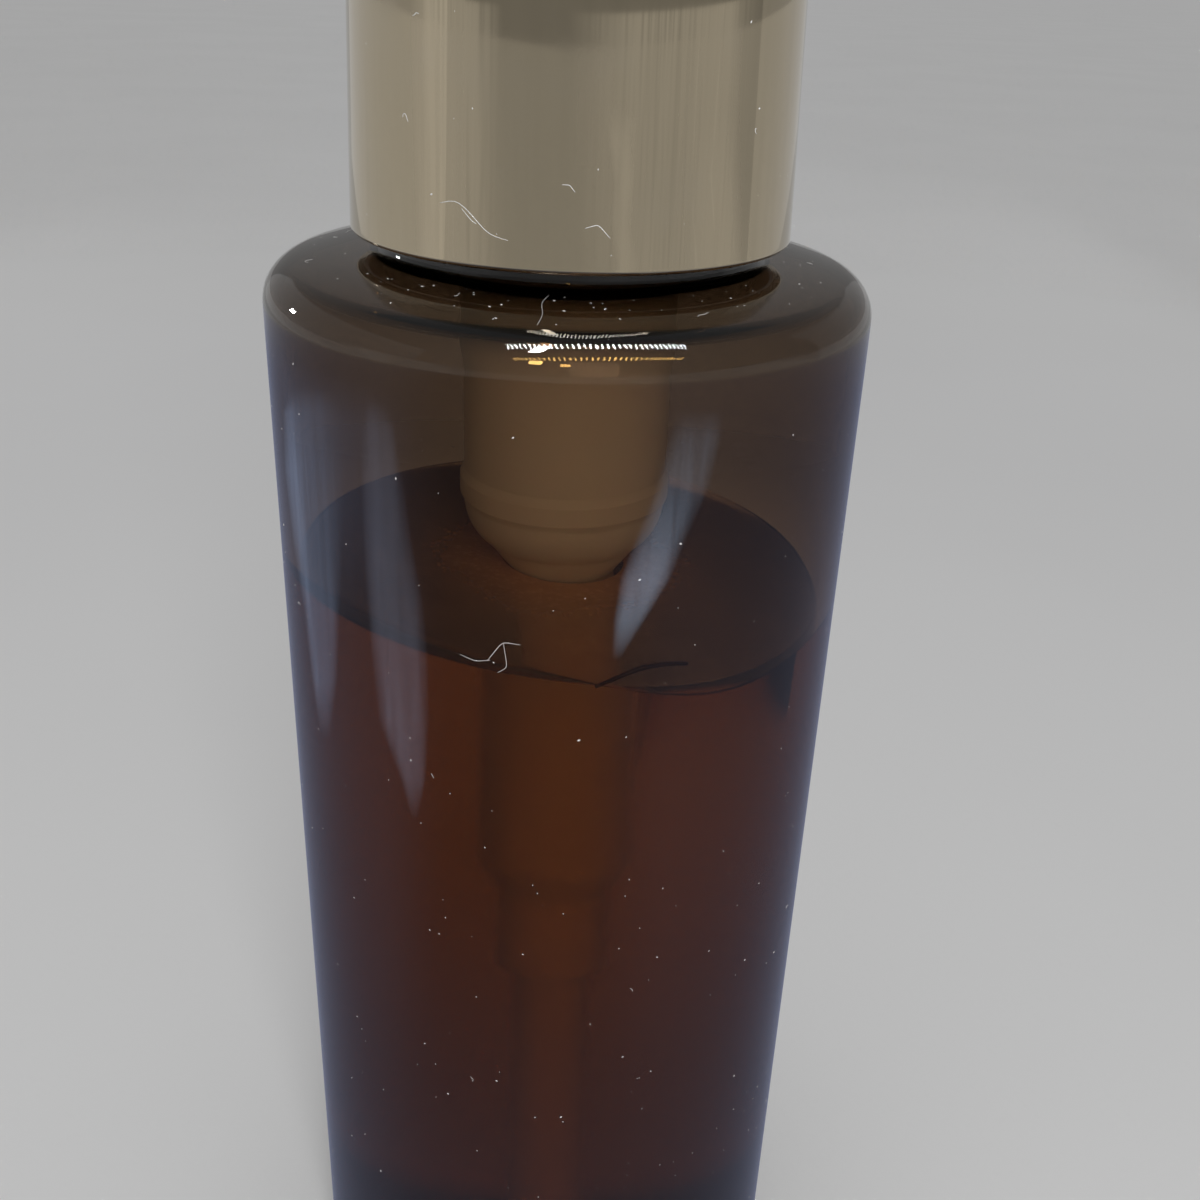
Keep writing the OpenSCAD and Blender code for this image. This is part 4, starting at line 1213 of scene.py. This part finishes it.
# where specks and lint lie: heights on the wall, and distances from the axis on the shoulder, whose lint is
# kept within the last pair
WALL_SPECKS_Z, WALL_LINT_Z = (6 * MM, 119 * MM), (10 * MM, 116 * MM)
TOP_SPECKS_R, TOP_LINT_R, TOP_R = (18.8 * MM, 24.3 * MM), (19.2 * MM, 23.8 * MM), (18.3 * MM, 24.5 * MM)
# smallest and largest speck
SPECK_SIZES = (0.03 * MM, 0.16 * MM)


class PUMPBOTTLE_OT_dust(Operator):
    """Scatters the dust and lint that cling to the bottle and the overcap"""

    bl_idname = "pumpbottle.dust"
    bl_label = "Dust"

    def execute(self, context):
        d, s, c = (getattr(context.scene, n) for n in ("pumpbottle_dust", "pumpbottle_bottle", "pumpbottle_cap"))
        rng = np.random.default_rng(d.seed)
        dust = pale_dust()

        def sizes(count, middle):
            return np.clip(rng.lognormal(math.log(middle), 0.45, count), *SPECK_SIZES)

        a, z = rng.uniform(0, TURN, d.wall_specks), rng.uniform(*WALL_SPECKS_Z, d.wall_specks)
        wall, wall_out = on_wall(s, a, z)
        a, r = rng.uniform(0, TURN, d.top_specks), rng.uniform(*TOP_SPECKS_R, d.top_specks)
        top, top_out = on_shoulder(s, a, r)
        places, outs = np.concatenate([wall, top]), np.concatenate([wall_out, top_out])
        mesh = specks_mesh("bottle_specks", places, outs, sizes(len(places), 0.07 * MM),
                           rng.uniform(0, TURN, len(places)))
        add_piece("bottle_specks", mesh, dust, "bottle", "bottle_plastic")

        a, z = rng.uniform(0, TURN, d.cap_specks), rng.uniform(CAP_RIM_Z + MM, CAP_TOP - 3 * MM, d.cap_specks)
        side, side_out = on_cap(c, a, z)
        mesh = specks_mesh("cap_specks", side, side_out, sizes(len(side), 0.075 * MM),
                           rng.uniform(0, TURN, len(side)))
        add_piece("cap_specks", mesh, dust, "overcap", "champagne_metallised")

        placed = [smooth_path(path) for path in WALL_LINT]
        loose = random_fibres(rng, 26, (0, TURN), WALL_LINT_Z, 0.05, 1.3 * MM)
        lines = np.concatenate([placed, loose])
        wall, wall_out = on_wall(s, lines[..., 0], lines[..., 1])
        loose = random_fibres(rng, 12, (0, TURN), TOP_LINT_R, 0.08, 1.6 * MM)
        loose = np.concatenate([smooth_path(SHOULDER_HAIR)[None], loose])
        top, top_out = on_shoulder(s, loose[..., 0], np.clip(loose[..., 1], *TOP_R))
        mesh = fibres_mesh("bottle_lint", np.concatenate([wall, top]), np.concatenate([wall_out, top_out]), d.fibre_r)
        add_piece("bottle_lint", mesh, dust, "bottle", "bottle_plastic")

        smear = smooth_path(OIL_SMEAR)[None]
        inside, inside_out = on_wall(s, smear[..., 0], smear[..., 1])
        inside = inside - inside_out * (s.wall + 0.05 * MM - s.skin)
        mesh = fibres_mesh("oil_smear", inside, inside_out, 0.22 * MM)
        add_piece("oil_smear", mesh, smeared_oil(), "bottle", "oil")

        placed = [smooth_path(path) for path in CAP_LINT]
        loose = random_fibres(rng, 8, (0, TURN), (CAP_RIM_Z + 3 * MM, CAP_TOP - 6 * MM), 0.08, 1.6 * MM)
        lines = np.concatenate([placed, loose])
        side, side_out = on_cap(c, lines[..., 0], lines[..., 1])
        add_piece("cap_lint", fibres_mesh("cap_lint", side, side_out, 1.5 * d.fibre_r), dust, "overcap",
                  "champagne_metallised")
        return {"FINISHED"}


# ---------------------------------------------------------------- stage

# the camera's turn in degrees, its place, and its lens and sensor in millimetres
CAMERA_PITCH = 26.54
CAMERA_ROLL = 2.42
CAMERA_YAW = 1.92
CAMERA_PLACE = (0.0, -119.17 * MM, 149.38 * MM)
LENS = 38.82
SENSOR = 36.0
# how far the floor reaches from the middle, in metres
FLOOR_REACH = 30.0

# bright strips that only show as reflections. Each row gives the angle and height in millimetres at which
# the camera sees the strip's left and right edge, and its share of the strip's glow.
WALL_STRIPS = (
    ((0.62, 0.78, 1.15), (((-145.4, 116.4), (-132.2, 118.0), 0.00), ((-151.6, 113.4), (-130.5, 116.2), 0.70),
            ((-153.3, 107.9), (-130.0, 111.4), 1.00), ((-151.4, 101.6), (-131.5, 105.0), 1.00),
            ((-147.9, 95.3), (-133.5, 98.2), 1.00), ((-146.3, 88.4), (-135.8, 90.7), 0.90),
            ((-143.9, 82.7), (-139.6, 83.7), 0.00))),
    ((1.05, 1.20, 1.65), (((-124.7, 117.8), (-120.5, 118.2), 0.00), ((-125.6, 115.3), (-118.5, 116.0), 0.60),
            ((-126.4, 111.0), (-117.2, 112.0), 0.80), ((-126.6, 105.7), (-115.9, 107.1), 0.85),
            ((-126.4, 100.3), (-114.0, 101.9), 0.90), ((-125.8, 94.6), (-113.3, 96.4), 1.00),
            ((-124.8, 88.8), (-113.4, 90.6), 1.00), ((-120.1, 83.4), (-114.4, 84.3), 0.80),
            ((-117.9, 79.5), (-116.4, 79.7), 0.00))),
    ((2.1, 2.7, 3.6), (((-72.6, 119.0), (-64.0, 118.7), 0.00), ((-73.6, 116.6), (-64.0, 116.3), 0.30),
           ((-75.4, 112.6), (-65.5, 112.3), 0.45), ((-78.2, 108.6), (-69.0, 108.3), 0.70),
           ((-80.4, 105.2), (-71.4, 104.9), 1.00), ((-81.2, 101.6), (-75.4, 101.5), 0.90),
           ((-81.2, 98.0), (-79.6, 97.9), 0.00))),
    ((0.42, 0.52, 0.80), (((-152.0, 119.0), (-116.0, 119.5), 0.00), ((-151.0, 114.0), (-115.0, 116.0), 0.60),
            ((-151.0, 108.0), (-116.0, 110.0), 0.50), ((-149.0, 102.0), (-118.0, 104.0), 0.25),
            ((-147.0, 96.0), (-120.0, 99.0), 0.00))),
)
CAP_STRIPS = (
    ((0.52, 0.52, 0.52), (((-130.0, 150.0), (-106.0, 150.0), 1.00), ((-128.0, 127.0), (-105.0, 127.0), 1.00))),
    ((0.50, 0.50, 0.50), (((-92.0, 150.0), (-44.0, 150.0), 1.00), ((-90.0, 138.0), (-46.0, 138.0), 0.80),
            ((-88.0, 127.0), (-40.0, 127.0), 1.00))),
    ((0.62, 0.62, 0.62), (((-83.4, 143.9), (-78.7, 143.9), 0.00), ((-82.5, 141.6), (-77.5, 141.6), 0.80),
            ((-81.0, 138.5), (-76.1, 138.6), 0.80), ((-81.5, 135.8), (-77.0, 135.8), 0.60),
            ((-79.7, 132.5), (-74.7, 132.5), 0.80), ((-80.7, 129.2), (-75.1, 129.2), 1.00),
            ((-80.5, 127.0), (-74.8, 127.0), 1.00))),
    ((0.60, 0.60, 0.60), (((-66.0, 150.0), (-50.5, 150.0), 1.00), ((-65.7, 142.7), (-49.7, 142.6), 0.50),
            ((-64.3, 136.4), (-47.2, 136.2), 0.80), ((-61.7, 127.0), (-44.2, 127.0), 1.00))),
)
# how far from the wall and from the overcap their strips stand
WALL_STRIP_AWAY = 60 * MM
CAP_STRIP_AWAY = 0.38
# height that the ceiling lamps are measured from
LAMPS_FROM_Z = 0.124
# rows of small ceiling lamps: ends and middle as (x, y) for each metre of height, slant of the slats there,
# count, slat size, colour, brightness, and in how many reflections in a row they show
LAMP_ROWS = (
    (((-0.301, -0.413), (0.133, -0.239), (0.566, -0.217)), (-0.18, 0.14, 0.57), 36, (0.0065, 0.18),
     (1.0, 1.0, 1.0), 46.0, 9),
    (((-0.490, -1.300), (0.250, -0.990), (0.980, -0.950)), (-0.18, 0.14, 0.57), 36, (0.011, 0.20),
     (1.0, 0.58, 0.16), 19.0, 1),
)
# single lamps: elevation, bearing from +Y towards +X, width, depth, colour, brightness, and reflections
LAMP_SPOTS = (
    (63.0, -163.0, 0.055, 0.28, (1.0, 1.0, 1.0), 60.0, 9), (10.0, -61.0, 0.06, 0.06, (1.0, 1.0, 1.0), 60.0, 9),
    (31.0, -168.0, 0.065, 0.13, (1.0, 0.60, 0.18), 28.0, 1),
    (27.5, -179.0, 0.050, 0.09, (1.0, 0.55, 0.15), 22.0, 1),
)
# soft lamps: name, place, the point it is turned to, width, height, its setting, whether reflections show it
SOFT_LAMPS = (
    ("key", (0.045, -0.27, 0.23), (0, 0, 0.12), 0.09, 0.26, "key", False),
    ("softbox_left", (-0.35, 0.17, 0.20), (0, 0.17, 0.20), 0.87, 0.31, "left", True),
    ("softbox_right", (0.35, 0.45, 0.20), (0, 0.45, 0.20), 0.80, 0.31, "right", True),
    ("strip_right", (0.25, -0.50, 0.056), (0, 0, 0.056), 0.05, 0.11, "low", True),
)
# cards on the floor: where both start, the dark one's rim, a painted reflection of darker floor that only the wall
# shows, the bright one's rim, painted light that only shows through the glass and oil, and how much brighter than
# its colour the lamps make the open floor
POOL_START = 19.5 * MM
PAINTED_REFLECTION_R = 0.61
PAINTED_LIGHT_POOL_R = 0.32
FLOOR_GAIN = 1.03
# the dark pool's front, a painted shadow in the wall's reflection: bearings in degrees over which it comes and goes,
# distances over which it darkens, and by how much; then the distances over which its rim fades, at the sides and in
# the front
FRONT_COMES, FRONT_GOES = (-72, -38), (5, 46)
SHADOW_WEDGE_FROM, SHADOW_WEDGE_DEPTH = (0.035, 0.13), 0.62
SIDE_RIM, FRONT_RIM = (0.38, 0.55), (0.52, 0.60)
PAINTED_LIGHT_RIM = (0.19, 0.30)


def camera_axes():
    """Right, up and forward directions from yaw, pitch and roll."""
    yaw, pitch, roll = (math.radians(v) for v in (CAMERA_YAW, CAMERA_PITCH, CAMERA_ROLL))
    forward = Vector((math.sin(yaw) * math.cos(pitch), math.cos(yaw) * math.cos(pitch), -math.sin(pitch)))
    right = Vector((math.cos(yaw), -math.sin(yaw), 0))
    up = right.cross(forward)
    return (right * math.cos(roll) + up * math.sin(roll), up * math.cos(roll) - right * math.sin(roll), forward)


def add_camera():
    """Puts the camera at its place, looking along camera_axes."""
    data = bpy.data.cameras.new("camera")
    data.sensor_width = SENSOR
    data.lens = LENS
    data.clip_start, data.clip_end = 0.005, 100.0
    right, up, forward = camera_axes()
    camera = bpy.data.objects.new("camera", data)
    turn = Matrix((right, up, -forward)).transposed().to_4x4()
    camera.matrix_world = Matrix.Translation(Vector(CAMERA_PLACE)) @ turn
    bpy.context.scene.collection.objects.link(camera)
    bpy.context.scene.camera = camera


def add_area(name, place, target, width, height, brightness, mirrored):
    """Rectangular lamp of an even brightness at a place, turned to a target. Its power is brightness x pi x
    area. It is never seen directly, and only shows in mirrors where that is wanted."""
    data = bpy.data.lights.new(name, "AREA")
    data.shape = "RECTANGLE"
    data.size, data.size_y = width, height
    data.energy = brightness * math.pi * width * height
    lamp = bpy.data.objects.new(name, data)
    direction = Vector(target) - Vector(place)
    lamp.matrix_world = Matrix.Translation(place) @ direction.to_track_quat("-Z", "Y").to_matrix().to_4x4()
    lamp.visible_camera = False
    lamp.visible_glossy = mirrored
    bpy.context.scene.collection.objects.link(lamp)
    return lamp


def card_material(name):
    """Empty material for a card, which lights nothing by itself, and its tree."""
    material = bpy.data.materials.new(name)
    material.use_nodes = True
    material.node_tree.nodes.clear()
    material.cycles.emission_sampling = "NONE"
    return material, material.node_tree


def show_glow(tree, tint, brightness, share):
    """Ends a card's tree: glow where share is 1, clear where it is 0, and a mix between."""
    glow = place_node(tree, "ShaderNodeEmission", Color=(*tint, 1), Strength=brightness)
    clear = tree.nodes.new("ShaderNodeBsdfTransparent")
    mix = place_node(tree, "ShaderNodeMixShader", Fac=share)
    tree.links.new(clear.outputs[0], mix.inputs[1])
    tree.links.new(glow.outputs[0], mix.inputs[2])
    place_node(tree, "ShaderNodeOutputMaterial", Surface=mix.outputs[0])


def glow_material(name, tint, brightness, reflections):
    """Even glow that shows in up to so many reflections in a row."""
    material, tree = card_material(name)
    depth = tree.nodes.new("ShaderNodeLightPath").outputs["Ray Depth"]
    show_glow(tree, tint, brightness, maths(tree, "LESS_THAN", depth, reflections + 0.5))
    return material


def stage_card(name, mesh, material, mirrors=True, glass=False):
    """Puts a card on the stage that neither the camera nor matt surfaces see."""
    mesh.materials.append(material)
    card = bpy.data.objects.new(name, mesh)
    card.visible_camera = card.visible_diffuse = card.visible_shadow = card.visible_volume_scatter = False
    card.visible_glossy, card.visible_transmission = mirrors, glass
    bpy.context.scene.collection.objects.link(card)
    return card


def add_cards(name, polygons, material, mirrors=True, glass=False):
    """Flat cards: one face for each list of corners."""
    counts = [len(p) for p in polygons]
    starts = np.cumsum([0] + counts[:-1])
    faces = [list(range(a, a + n)) for a, n in zip(starts, counts)]
    return stage_card(name, filled_mesh(name, np.concatenate(polygons), faces), material, mirrors, glass)


def ring_on_floor(inner_r, outer_r, height, segments=64):
    """Four-cornered faces of a flat ring about the axis."""
    t = np.linspace(0, TURN, segments + 1)
    inner, outer = (np.stack([r * np.cos(t), r * np.sin(t), np.full_like(t, height)], axis=1)
                    for r in (inner_r, outer_r))
    return list(np.stack([inner[:-1], inner[1:], outer[1:], outer[:-1]], axis=1))


def seen_in(radius, corners, away):
    """Places whose mirror images the camera sees in an upright wall at given angles and heights: the ray
    from the camera is turned back about the wall's normal and followed for a distance."""
    a, z = np.radians(corners[..., 0]), corners[..., 1] * MM
    normal = np.stack([np.cos(a), np.sin(a), np.zeros_like(a)], axis=-1)
    hit = normal * radius + np.stack([0 * a, 0 * a, z], axis=-1)
    ray = hit - np.array(CAMERA_PLACE)
    ray /= np.linalg.norm(ray, axis=-1, keepdims=True)
    back = ray - 2 * np.sum(ray * normal, axis=-1, keepdims=True) * normal
    return hit + back * away


def add_strip(name, radius, rows, away, glow):
    """Soft-edged strip seen in an upright wall: a grid of rows, blended evenly between those given, and of
    columns from its left to its right edge, with a share that falls to nothing at both edges."""
    left, right, strength = (np.array([row[i] for row in rows], dtype=float) for i in range(3))
    t = np.linspace(0, len(rows) - 1, 6 * (len(rows) - 1) + 1)
    known = np.arange(len(rows))
    left, right = (np.stack([np.interp(t, known, side[:, i]) for i in (0, 1)], axis=1) for side in (left, right))
    across = np.linspace(0, 1, 9)
    corners = left[:, None, :] * (1 - across)[None, :, None] + right[:, None, :] * across[None, :, None]
    places = seen_in(radius, corners, away)
    share = np.interp(t, known, strength)[:, None] * np.clip(np.sin(math.pi * across) * 1.25, 0, 1)[None, :]
    rows_n, columns = share.shape
    index = np.arange(rows_n * columns).reshape(rows_n, columns)
    faces = np.stack([index[:-1, :-1], index[:-1, 1:], index[1:, 1:], index[1:, :-1]], axis=-1).reshape(-1, 4)
    mesh = filled_mesh(name, places, faces.tolist())
    mesh.attributes.new("share", "FLOAT", "POINT").data.foreach_set("value", share.ravel())
    return stage_card(name, mesh, strip_material(name, glow))


def strip_material(name, colour_of_glow):
    """Glow that fades with the strip's share, with fine uneven lines in it."""
    material, tree = card_material(name)
    share = place_node(tree, "ShaderNodeAttribute", {"attribute_name": "share"}).outputs["Fac"]
    lines = noise(tree, own_coordinates(tree, (90, 90, 12)), 1.0, 3.0, 0.6)
    share = maths(tree, "MULTIPLY", share, ranged(tree, lines, 0.3, 0.6, 0.55, 1.0))
    show_glow(tree, colour_of_glow, 1.0, share)
    return material


def lamp_row(ends, slants, count, size, height=0.80):
    """Slats of a row of lamps along the curve through three points, at a height above LAMPS_FROM_Z. Each
    slat is as wide as size[0] along X and as long as size[1] along (slant, -1)."""
    t = np.linspace(0, 1, count)[:, None]
    first, middle, last = (np.array(e) for e in ends)
    line = ((1 - t) * (1 - 2 * t) * first + 4 * t * (1 - t) * middle + t * (2 * t - 1) * last) * height
    slant = np.interp(t, (0, 0.5, 1), slants)
    long = np.concatenate([slant, -np.ones_like(slant)], axis=1)
    long *= size[1] / 2 / np.linalg.norm(long, axis=1, keepdims=True)
    wide = np.array([size[0] / 2, 0.0])
    flat = np.stack([line - wide - long, line + wide - long, line + wide + long, line - wide + long], axis=1)
    return list(np.concatenate([flat, np.full((count, 4, 1), LAMPS_FROM_Z + height)], axis=2))


def lamp_spot(elevation, bearing, width, depth, distance=0.9):
    """Square corners of a small lamp in a direction from the shoulder: bearing from +Y towards +X."""
    e, b = math.radians(elevation), math.radians(bearing)
    out = np.array([math.sin(b) * math.cos(e), math.cos(b) * math.cos(e), math.sin(e)])
    side = np.array([math.cos(b), -math.sin(b), 0])
    up = np.cross(side, out)
    middle = out * distance + (0, 0, LAMPS_FROM_Z)
    return np.array([middle + sx * side * width / 2 + sy * up * depth / 2
                     for sx, sy in ((-1, -1), (1, -1), (1, 1), (-1, 1))])


def floor_material(s):
    """Pale matt floor with a faint uneven tone."""
    material, tree, shader, _ = new_material("pale_floor", Roughness=0.8, Specular_IOR_Level=0.1)
    tone = noise(tree, own_coordinates(tree), 6.0, 3.0)
    tree.links.new(blended(tree, ranged(tree, tone, 0.3, 0.7), tuple(0.98 * c for c in s.floor), tuple(s.floor)),
                   shader.inputs["Base Color"])
    return material


def ring_material(name, build):
    """Glow of a card on the floor. build gets the tree, the distance from the axis and the bearing from the
    front, positive to the right, and gives the glow's colour and strength."""
    material, tree = card_material(name)
    place = tree.nodes.new("ShaderNodeTexCoord").outputs["Object"]
    far = place_node(tree, "ShaderNodeVectorMath", {"operation": "LENGTH"})
    tree.links.new(place, far.inputs[0])
    parts = place_node(tree, "ShaderNodeSeparateXYZ", Vector=place)
    bearing = maths(tree, "ARCTAN2", parts.outputs["X"], maths(tree, "MULTIPLY", parts.outputs["Y"], -1.0))
    tint, strength = build(tree, far.outputs["Value"], bearing)
    glow = place_node(tree, "ShaderNodeEmission", Color=tint, Strength=strength)
    place_node(tree, "ShaderNodeOutputMaterial", Surface=glow.outputs[0])
    return material


def fades_to_floor(tree, level, share, s):
    """Glow that goes from level to the open floor's brightness with share."""
    floor = s.floor[0] * s.ambient * FLOOR_GAIN
    return maths(tree, "ADD", maths(tree, "MULTIPLY", level, maths(tree, "SUBTRACT", 1.0, share)),
                 maths(tree, "MULTIPLY", share, floor))


def painted_dark_reflection_material(s):
    """Painted reflection: a card that the wall mirrors in place of the floor round the bottle, darker than the floor
    and tinted blue inside, with a painted shadow darkest in a wedge towards the front, and as bright as the floor at
    its rim."""
    def build(tree, far, bearing):
        comes, goes = ([math.radians(v) for v in pair] for pair in (FRONT_COMES, FRONT_GOES))
        front = maths(tree, "MULTIPLY", ranged(tree, bearing, *comes), ranged(tree, bearing, *goes, 1.0, 0.0))
        # painted shadow in the wall's reflection: darkest in a wedge towards the front
        wedge = maths(tree, "MULTIPLY", front, ranged(tree, far, *SHADOW_WEDGE_FROM))
        side = ranged(tree, maths(tree, "ABSOLUTE", bearing), math.radians(70), math.radians(150),
                      s.pool, 1.15 * s.pool)
        shade = maths(tree, "SUBTRACT", 1.0, maths(tree, "MULTIPLY", wedge, SHADOW_WEDGE_DEPTH))
        level = maths(tree, "MULTIPLY", side, shade)
        side_rim = maths(tree, "MULTIPLY", ranged(tree, far, *SIDE_RIM), maths(tree, "SUBTRACT", 1.0, front))
        rim = maths(tree, "ADD", side_rim, maths(tree, "MULTIPLY", ranged(tree, far, *FRONT_RIM), front))
        # painted reflection: tinted blue inside, and as bright as the open floor at the rim
        return blended(tree, rim, (0.84, 0.92, 1.30), (1.0, 1.0, 1.0)), fades_to_floor(tree, level, rim, s)
    return ring_material("painted_dark_reflection", build)


def painted_light_pool_material(s):
    """Painted light: a glowing card brighter than the floor round the bottle, which only shows through the glass and
    oil; it fades to the floor at its rim.
    """
    def build(tree, far, _):
        level = ranged(tree, far, 0.02, 0.10, 0.6 * s.through, s.through)
        return (1, 1, 1, 1), fades_to_floor(tree, level, ranged(tree, far, *PAINTED_LIGHT_RIM), s)
    return ring_material("painted_light_pool", build)


class PUMPBOTTLE_OT_stage(Operator):
    """Sets the floor, lamps, world and camera"""

    bl_idname = "pumpbottle.stage"
    bl_label = "Stage"

    def execute(self, context):
        s = context.scene.pumpbottle_stage
        far = FLOOR_REACH
        mesh = filled_mesh("floor", [(-far, -far, 0), (far, -far, 0), (far, far, 0), (-far, far, 0)], [(0, 1, 2, 3)])
        mesh.materials.append(floor_material(s))
        floor = bpy.data.objects.new("floor", mesh)
        context.scene.collection.objects.link(floor)
        add_camera()

        world = bpy.data.worlds.new("studio")
        context.scene.world = world
        world.use_nodes = True
        world.node_tree.nodes.clear()
        paths = world.node_tree.nodes.new("ShaderNodeLightPath")
        strength = ranged(world.node_tree, paths.outputs["Is Glossy Ray"], 0, 1, s.ambient, s.mirrored * s.ambient)
        light = place_node(world.node_tree, "ShaderNodeBackground", Color=(1, 1, 1, 1), Strength=strength)
        place_node(world.node_tree, "ShaderNodeOutputWorld", Surface=light.outputs[0])

        for name, place, target, width, height, setting, mirrored in SOFT_LAMPS:
            add_area(name, place, target, width, height, getattr(s, setting), mirrored)
        # painted reflection: a darker card that only the wall's reflections show
        add_cards("painted_dark_reflection", ring_on_floor(POOL_START, PAINTED_REFLECTION_R, 0.5 * MM), painted_dark_reflection_material(s))
        # painted light: a brighter glowing card that only the glass and oil show
        add_cards("painted_light_pool", ring_on_floor(POOL_START, PAINTED_LIGHT_POOL_R, 1.0 * MM), painted_light_pool_material(s),
                  mirrors=False, glass=True)
        for i, (ends, slants, count, size, *glow) in enumerate(LAMP_ROWS, 1):
            add_cards(f"lamp_row_{i}", lamp_row(ends, slants, count, size), glow_material(f"lamp_row_{i}", *glow))
        for i, (elevation, bearing, width, depth, *glow) in enumerate(LAMP_SPOTS, 1):
            add_cards(f"lamp_spot_{i}", [lamp_spot(elevation, bearing, width, depth)],
                      glow_material(f"lamp_spot_{i}", *glow))
        for i, (glow, rows) in enumerate(WALL_STRIPS, 1):
            add_strip(f"wall_strip_{i}", BOTTLE_R, rows, WALL_STRIP_AWAY, glow)
        for i, (glow, rows) in enumerate(CAP_STRIPS, 1):
            add_strip(f"cap_strip_{i}", CAP_RIM_R - 0.3 * MM, rows, CAP_STRIP_AWAY, glow)
        context.scene.view_settings.view_transform = "Standard"
        return {"FINISHED"}


class PUMPBOTTLE_PT_panel(Panel):
    """Sidebar list of the pieces and their sizes"""

    bl_idname = "PUMPBOTTLE_PT_panel"
    bl_label = "Pump bottle"
    bl_space_type = "VIEW_3D"
    bl_region_type = "UI"
    bl_category = "Pump bottle"

    def draw(self, context):
        for operator in STEPS:
            self.layout.operator(operator.bl_idname)
        for group in GROUPS:
            settings = getattr(context.scene, group)
            box = self.layout.box()
            for name in settings.__annotations__:
                box.prop(settings, name)


STEPS = (PUMPBOTTLE_OT_stage, PUMPBOTTLE_OT_bottle, PUMPBOTTLE_OT_oil, PUMPBOTTLE_OT_overcap,
         PUMPBOTTLE_OT_pump, PUMPBOTTLE_OT_dust)
GROUPS = {"pumpbottle_bottle": BottleSettings, "pumpbottle_oil": OilSettings, "pumpbottle_cap": CapSettings,
          "pumpbottle_pump": PumpSettings, "pumpbottle_dust": DustSettings, "pumpbottle_stage": StageSettings}
CLASSES = (*GROUPS.values(), *STEPS, PUMPBOTTLE_PT_panel)


def register():
    """Registers the classes and puts the settings on the scene."""
    for cls in CLASSES:
        bpy.utils.register_class(cls)
    for name, group in GROUPS.items():
        setattr(bpy.types.Scene, name, PointerProperty(type=group))


def unregister():
    """Takes the settings off the scene and unregisters the classes."""
    for name in GROUPS:
        delattr(bpy.types.Scene, name)
    for cls in reversed(CLASSES):
        bpy.utils.unregister_class(cls)


def main():
    register()
    for step in STEPS:
        group, name = step.bl_idname.split(".")
        getattr(getattr(bpy.ops, group), name)()


if __name__ == "__main__":
    main()
